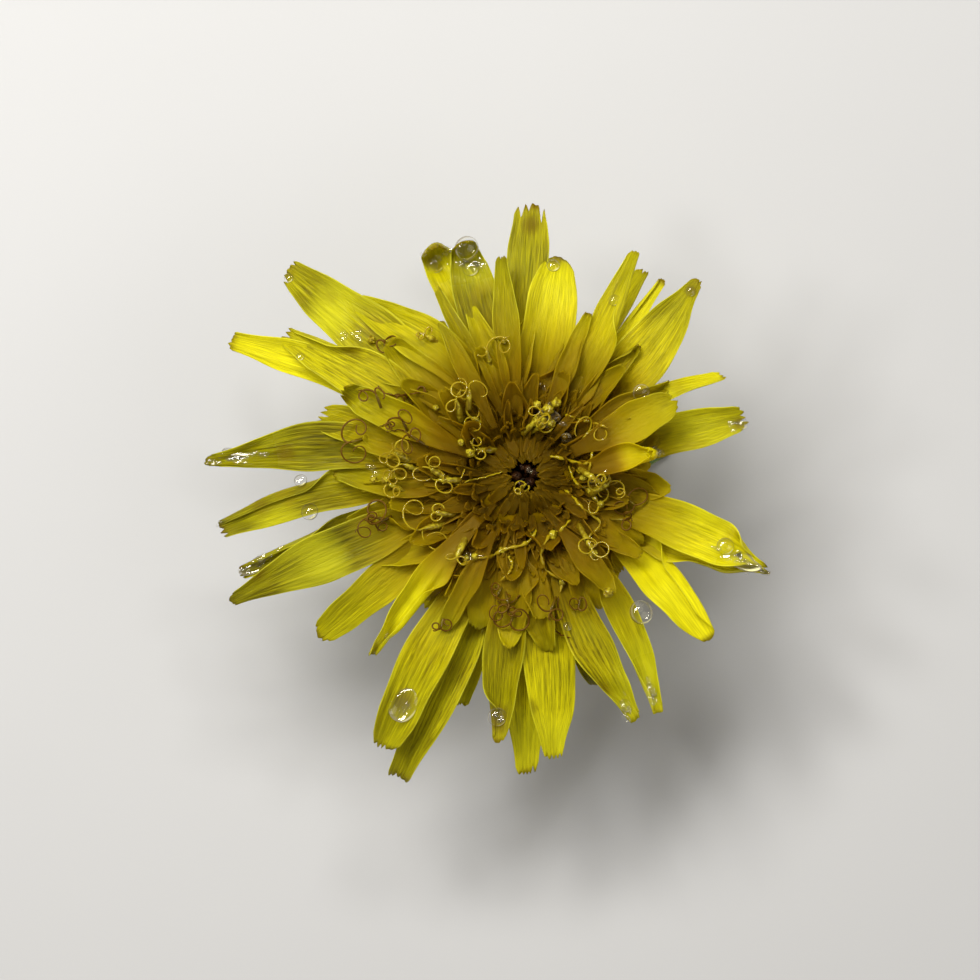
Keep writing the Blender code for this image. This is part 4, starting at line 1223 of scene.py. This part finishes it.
def add_bud(shape, foot, top, radius, tint):
    """A closed floret: a slim bud with lobes round its top."""
    shares = np.linspace(0.0, 1.0, BUD_GRID[0])
    angles = turns(BUD_GRID[1])
    swell = radius * (0.7 + 0.4 * np.sin(shares * 2.3)) * np.sqrt(np.clip(1.01 - shares**7, 0.03, 1.0))
    lobed = 1.0 + 0.16 * np.cos(angles * TEETH) * shares[:, None] ** 2
    first = unit(np.cross(top - foot, (0.2, 1.0, 0.1)))
    second = unit(np.cross(top - foot, first))
    ring = first * np.cos(angles)[:, None] + second * np.sin(angles)[:, None]
    middle = foot + (top - foot) * shares[:, None]
    rings = middle[:, None] + ring * (swell[:, None] * lobed)[..., None]
    add_rings(shape, rings, (foot, top + (top - foot) * 0.02), along=shares, tint=tint)


def add_lump(shape, centre, radius, draw, tint):
    """A rounded body covered in small bumps: a dark bud from its top, or a knot of anthers."""
    polar = np.linspace(0.06, math.pi - 0.06, LUMP_GRID[0])[:, None]
    turn = turns(LUMP_GRID[1])
    rays = [np.sin(polar) * np.cos(turn), np.sin(polar) * np.sin(turn), np.cos(polar) + turn * 0.0]
    rays = np.stack(rays, -1)
    swell = np.zeros(rays.shape[:2])
    for bump in range(LUMP_BUMPS):
        knob = unit(np.array([draw.gauss(0, 1), draw.gauss(0, 1), abs(draw.gauss(0.4, 1))]))
        gap = np.arccos(np.clip(rays @ knob, -1.0, 1.0))
        swell = np.maximum(swell, draw.uniform(0.6, 1.0) * np.exp(-((gap / 0.26) ** 2)))
    rings = centre + rays * (1.0, 1.0, 1.25) * (radius * (0.8 + 0.3 * swell))[..., None]
    pole = UP * radius * 0.95
    add_rings(shape, rings, (centre + pole, centre - pole), True, along=1.0, tint=tint)


def add_young_floret(shape, azimuth, foot, tip, width, shine, draw):
    """A narrow young ligule, folded along its middle; foot and tip are (radius, height)."""
    rows, columns = YOUNG_GRID
    share = np.linspace(0.0, 1.0, rows)[:, None]
    across = np.broadcast_to(np.linspace(-1.0, 1.0, columns), (rows, columns))
    lean = draw.uniform(-6.0, 6.0)
    hole = photo_place(*HOLE) * max(0.0, 1.0 - min(foot[0], tip[0]) / 3.0)
    start = hole + direction(azimuth) * foot[0] + UP * foot[1]
    end = hole + direction(azimuth + lean) * tip[0] + UP * tip[1]
    bend = foot[0] * 0.45 + tip[0] * 0.55
    knee = hole + direction(azimuth + lean * 0.4) * bend + UP * (tip[1] * 0.85 + foot[1] * 0.15)
    cut = 0.07 * np.abs(np.sin(across * 4.5 + draw.uniform(0.0, 3.0))) + 0.1 * across**2
    part = share * (1.0 - cut * smooth_step(0.7, 1.0, share))
    done, left = part[..., None], 1.0 - part[..., None]
    middle = start * left**2 + knee * 2.0 * done * left + end * done**2
    forward = unit((knee - start) * left + (end - knee) * done)
    around = np.cross(UP, direction(azimuth + lean))
    normal = unit(np.cross(around, forward))
    normal = normal * np.sign(normal[..., 2:] + 1e-6)
    half = width / 2 * (0.55 + 0.45 * smooth_step(0.0, 0.6, share))
    half = half * (1.0 - 0.5 * smooth_step(0.7, 1.0, share))
    fold = draw.uniform(0.3, 0.75)
    sideways = half * np.sin(across * fold) / fold
    lift = half * (1.0 - np.cos(across * fold)) / fold + 0.02 * np.sin(share * 14.0 + across * 3.0)
    grid = middle + around * sideways[..., None] + normal * lift[..., None]
    look = dict(reach=np.linalg.norm(grid[..., :2], axis=-1) / REACH_UNIT, tint=draw.random(), shine=shine)
    add_shell(shape, grid, HALF_THICK * 0.8, along=part, across=across, **look)


def make_young_florets(petal):
    """The unopened middle: florets that lean in over the buds, and steep ones round them."""
    draw = random.Random(SEED + 5)
    shape = Shape(*PETAL_FIELDS)
    for group in YOUNG_FLORETS:
        for index in range(group.count):
            share = index / (group.count - 1)
            foot = spread(group.foot, share) + draw.uniform(-0.15, 0.15)
            tip = spread(group.tip, share) + draw.uniform(-0.15, 0.15)
            rise = spread(group.height, share) + draw.uniform(-0.15, 0.15)
            width = spread(group.width, draw.random())
            shine = draw.uniform(0.8, 1.2) * group.shine
            ends = (foot, group.base), (tip, rise)
            add_young_floret(shape, index * GOLDEN_ANGLE, *ends, width, shine, draw)
    return shape.finish("florets_young", petal, "petal", "florets")


def make_buds():
    """The dark buds of the middle, which fill the hole that the young florets leave."""
    draw = random.Random(SEED + 3)
    middle = Shape("along", "tint")
    for index in range(MIDDLE_BUDS):
        foot = direction(index * GOLDEN_ANGLE) * min(0.24 * math.sqrt(index), 0.78)
        top = foot * draw.uniform(0.8, 1.0) + UP * (BUD_TOP - draw.uniform(0.3, 0.8))
        add_bud(middle, foot + UP * BUD_FLOOR, top, draw.uniform(0.15, 0.22), draw.random())
    for x, y, radius in DARK_BUDS:
        add_lump(middle, photo_place(x, y) + UP * (BUD_TOP - radius), radius, draw, 0.5)
    return middle.finish("buds_dark", bud_material(), "bud", "central_buds")


def add_bract(shape, azimuth, path, width, keel, draw):
    """A lance-shaped bract in the upright plane through the axis, keeled along its middle."""
    rows, columns = BRACT_GRID
    shares = np.linspace(0.0, 1.0, rows)
    spots = smooth_curve(path, shares)
    slope = unit(np.gradient(spots, axis=0))
    outward = direction(azimuth)
    side = np.cross(outward, UP)
    normal = np.cross(side, outward * slope[:, :1] + UP * slope[:, 1:])
    middle = outward * spots[:, :1] + UP * spots[:, 1:]
    across = np.linspace(-1.0, 1.0, columns)
    half = width / 2 * (1.0 - 0.75 * smooth_step(0.15, 1.1, shares)) * np.sqrt(1.001 - shares**8)
    wave = 0.05 * np.sin(9.0 * shares[:, None] + draw.uniform(0, 6)) * across**2
    lift = keel * np.abs(across) ** 1.5 + wave + 0.03 * np.cos(across * 9.0)
    sideways = half[:, None] * across
    grid = middle[:, None] + side * sideways[..., None] + normal[:, None] * lift[..., None]
    thick = 0.16 * (1.0 - 0.6 * np.abs(across) ** 3) * (1.0 - 0.5 * shares[:, None])
    add_shell(shape, grid, thick, along=shares[:, None], across=across, tint=draw.random())


def make_involucre(green):
    """The green cup, two rows of erect bracts and the bent-back ones that it stands on."""
    cup = Shape(*GREEN_FIELDS)
    add_turned(cup, CUP_PROFILE, CUP_SIDES, lambda angles, *place: 0.05 * np.cos(angles * 14.0))
    cup.finish("involucre_cup", green, "bract", "involucre")
    rule = random.Random(SEED)
    fine = random.Random(SEED + 4)
    erect = Shape(*GREEN_FIELDS)
    for index in range(INNER_BRACTS):
        azimuth = 360.0 * index / INNER_BRACTS + rule.uniform(-3.0, 3.0)
        outward = BRACT_OVERLAP * (index % 2)
        path = [(radius + outward, height) for radius, height in INNER_BRACT_PATH]
        add_bract(erect, azimuth, path, INNER_BRACT_WIDTH, -0.15, fine)
    behind = random.Random(SEED + 9)
    for index in range(INNER_BRACTS):
        azimuth = 360.0 * (index + 0.5) / INNER_BRACTS + behind.uniform(-2.5, 2.5)
        tall = behind.uniform(0.99, 1.03)
        path = [(radius - 0.02, height * tall) for radius, height in INNER_BRACT_PATH]
        add_bract(erect, azimuth, path, INNER_BRACT_WIDTH * 0.92, 0.08, behind)
    erect.finish("inner_bracts", green, "bract", "involucre")
    bent = Shape(*GREEN_FIELDS)
    for index in range(OUTER_BRACTS):
        azimuth = 360.0 * (index + 0.5) / OUTER_BRACTS + rule.uniform(-5.0, 5.0)
        width = OUTER_BRACT_WIDTH * rule.uniform(0.9, 1.1)
        foot = () if index % 2 else FOOT_PATH
        add_bract(bent, azimuth, OUTER_BRACT_PATH + foot, width, 0.12, fine)
    bent.finish("outer_bracts", green, "bract", "involucre")


def make_stalk():
    """The hollow stalk, cut square, with faint ribs and a flare under the cup."""

    def ribs(angles, radius, height):
        return 0.035 * np.cos(angles * 17.0) * (radius > STALK_BORE + 0.1)

    shape = Shape()
    add_turned(shape, STALK_PROFILE, STALK_SIDES, ribs, loop=True)
    return shape.finish("stalk", stalk_material(), "stalk", "scape")


def add_drop(shape, tree, x, y, wide, long=None, turn=0.0, height=0.7, sink=0.15, ragged=0.0):
    """A bead of dew on whatever lies below a pixel of the photograph; sizes in millimetres."""
    place = photo_place(x, y)
    floor, normal = nearest_height(tree, place)
    normal = unit(normal if normal[2] > 0.0 else -normal)
    normal = unit(normal + UP * 0.6)
    first = unit(np.cross(direction(turn + 90.0), normal))
    second = np.cross(normal, first)
    centre = place + UP * floor + normal * (0.4 * height - sink) * wide / 2
    big = wide > BIG_DROP
    rings, sides = BIG_DROP_GRID if big else SMALL_DROP_GRID
    polar = math.radians(125.0 if height > 0.6 else 95.0) * np.arange(1, rings + 1)[:, None] / rings
    angle = turns(sides)
    rough = 1.0 + ragged * (np.sin(3 * angle + x) * 0.6 + np.sin(5 * angle + y) * 0.4)
    east, north = np.cos(angle)[:, None] * first, np.sin(angle)[:, None] * second
    # Painted light: a bright crescent on the side of the bead away from the light
    away = np.maximum(-(east + north) @ direction(LIGHT_AZIMUTH), 0.0)
    lit = away**2 * np.exp(-(((polar - 1.1) / 0.25) ** 2))
    flat = (east * (long or wide) + north * wide) / 2
    stem = normal * height * wide / 2
    points = centre + flat * (np.sin(polar) * rough)[..., None] + stem * np.cos(polar)[..., None]
    level = polar / (math.pi / 2)
    # Where the painted dark rim lies, by the angle from the bead's top
    rim = np.broadcast_to(np.minimum(level, 2.5 - 1.5 * level), (rings, sides))
    ends = (centre + stem, points[-1].mean(axis=0))
    look = dict(rim=np.append(rim, (0.0, 0.0)), lit=np.append(lit, (0.0, 0.0)))
    add_rings(shape, points, ends, True, body=1.0 if big else 0.35, **look)


def make_dew(tree):
    """Beads and films of dew where the photograph shows them."""
    shape = Shape("rim", "lit", "body")
    draw = random.Random(SEED + 7)
    for drop in DEW_BEADS + DEW_FILMS:
        add_drop(shape, tree, *drop)
    for x, y, long, wide, turn, count in DEW_SPRAYS:
        way = direction(turn)
        for bead in range(count):
            spot = way * draw.gauss(0.0, long / 2) + np.cross(UP, way) * draw.gauss(0.0, wide / 2)
            size = draw.uniform(0.1, 0.34)
            stretch = size * draw.uniform(1.0, 2.2)
            place = (x + spot[0] / PIXEL, y - spot[1] / PIXEL)
            veer = turn + draw.gauss(0.0, 20.0)
            if height_at(tree, photo_place(*place))[0] is not None:
                add_drop(shape, tree, *place, size, stretch, veer, 0.5, 0.1, 0.2)
    return shape.finish("dew", water_material(), "dew")


def make_floor():
    graph = Graph("floor_pale")
    colour = graph.mix(graph.noise(30.0, 3.0), (0.42, 0.415, 0.405), (0.45, 0.445, 0.435))
    material = graph.finish(graph.principled(Base_Color=colour, Roughness=0.7))
    bpy.ops.mesh.primitive_plane_add(size=3.0)
    floor = bpy.context.object
    floor.name = "floor"
    floor.data.materials.append(material)


def add_light(name, place, size, power, colour):
    """A soft square light that faces the head; the place is in metres."""
    lamp = bpy.data.lights.new(name, "AREA")
    lamp.size = size
    lamp.energy = power
    lamp.color = colour
    holder = bpy.data.objects.new(name, lamp)
    holder.location = place
    facing = Vector((0.0, 0.0, 0.01)) - Vector(place)
    holder.rotation_euler = facing.to_track_quat("-Z", "Y").to_euler()
    bpy.context.scene.collection.objects.link(holder)


def make_lights():
    """A broad key light, a weaker one across from it, and a ring of small lamps for the glints."""
    add_light("key", (-0.12, 0.2, 0.32), 0.16, 0.95, (1.0, 0.98, 0.94))
    add_light("fill", (0.3, -0.1, 0.25), 0.3, 0.4, (1.0, 0.98, 0.95))
    for lamp in range(5):
        place = direction(75.0 + 24.0 * lamp) * 0.09 + UP * 0.12
        add_light("glint", place, 0.022, 0.047, (1.0, 1.0, 1.0))
    world = bpy.data.worlds.new("studio")
    world.use_nodes = True
    sky = world.node_tree.nodes["Background"].inputs
    sky["Color"].default_value = (1.0, 0.97, 0.93, 1.0)
    sky["Strength"].default_value = 0.27
    bpy.context.scene.world = world


def make_camera():
    """Straight down, with the head's axis where the photograph shows it; metres."""
    distance = 0.3
    petal_height = 0.011
    lens = bpy.data.cameras.new("camera")
    lens.sensor_width = 36.0
    lens.lens = lens.sensor_width * distance / (PHOTO_SIDE * PIXEL * MM)
    lens.clip_start = 0.01
    camera = bpy.data.objects.new("camera", lens)
    middle = AXIS + photo_place(PHOTO_SIDE / 2, PHOTO_SIDE / 2) * MM
    camera.location = (middle[0], middle[1], petal_height + distance)
    bpy.context.scene.collection.objects.link(camera)
    bpy.context.scene.camera = camera


petal = ligule_material()
tree = surface_under([*make_ligules(petal), make_young_florets(petal), make_heart(), make_buds()])
make_styles(tree)
make_involucre(bract_material())
make_stalk()
make_dew(tree)
make_floor()
make_lights()
make_camera()
bpy.context.scene.view_settings.view_transform = "Standard"

bpy.context.view_layer.update()
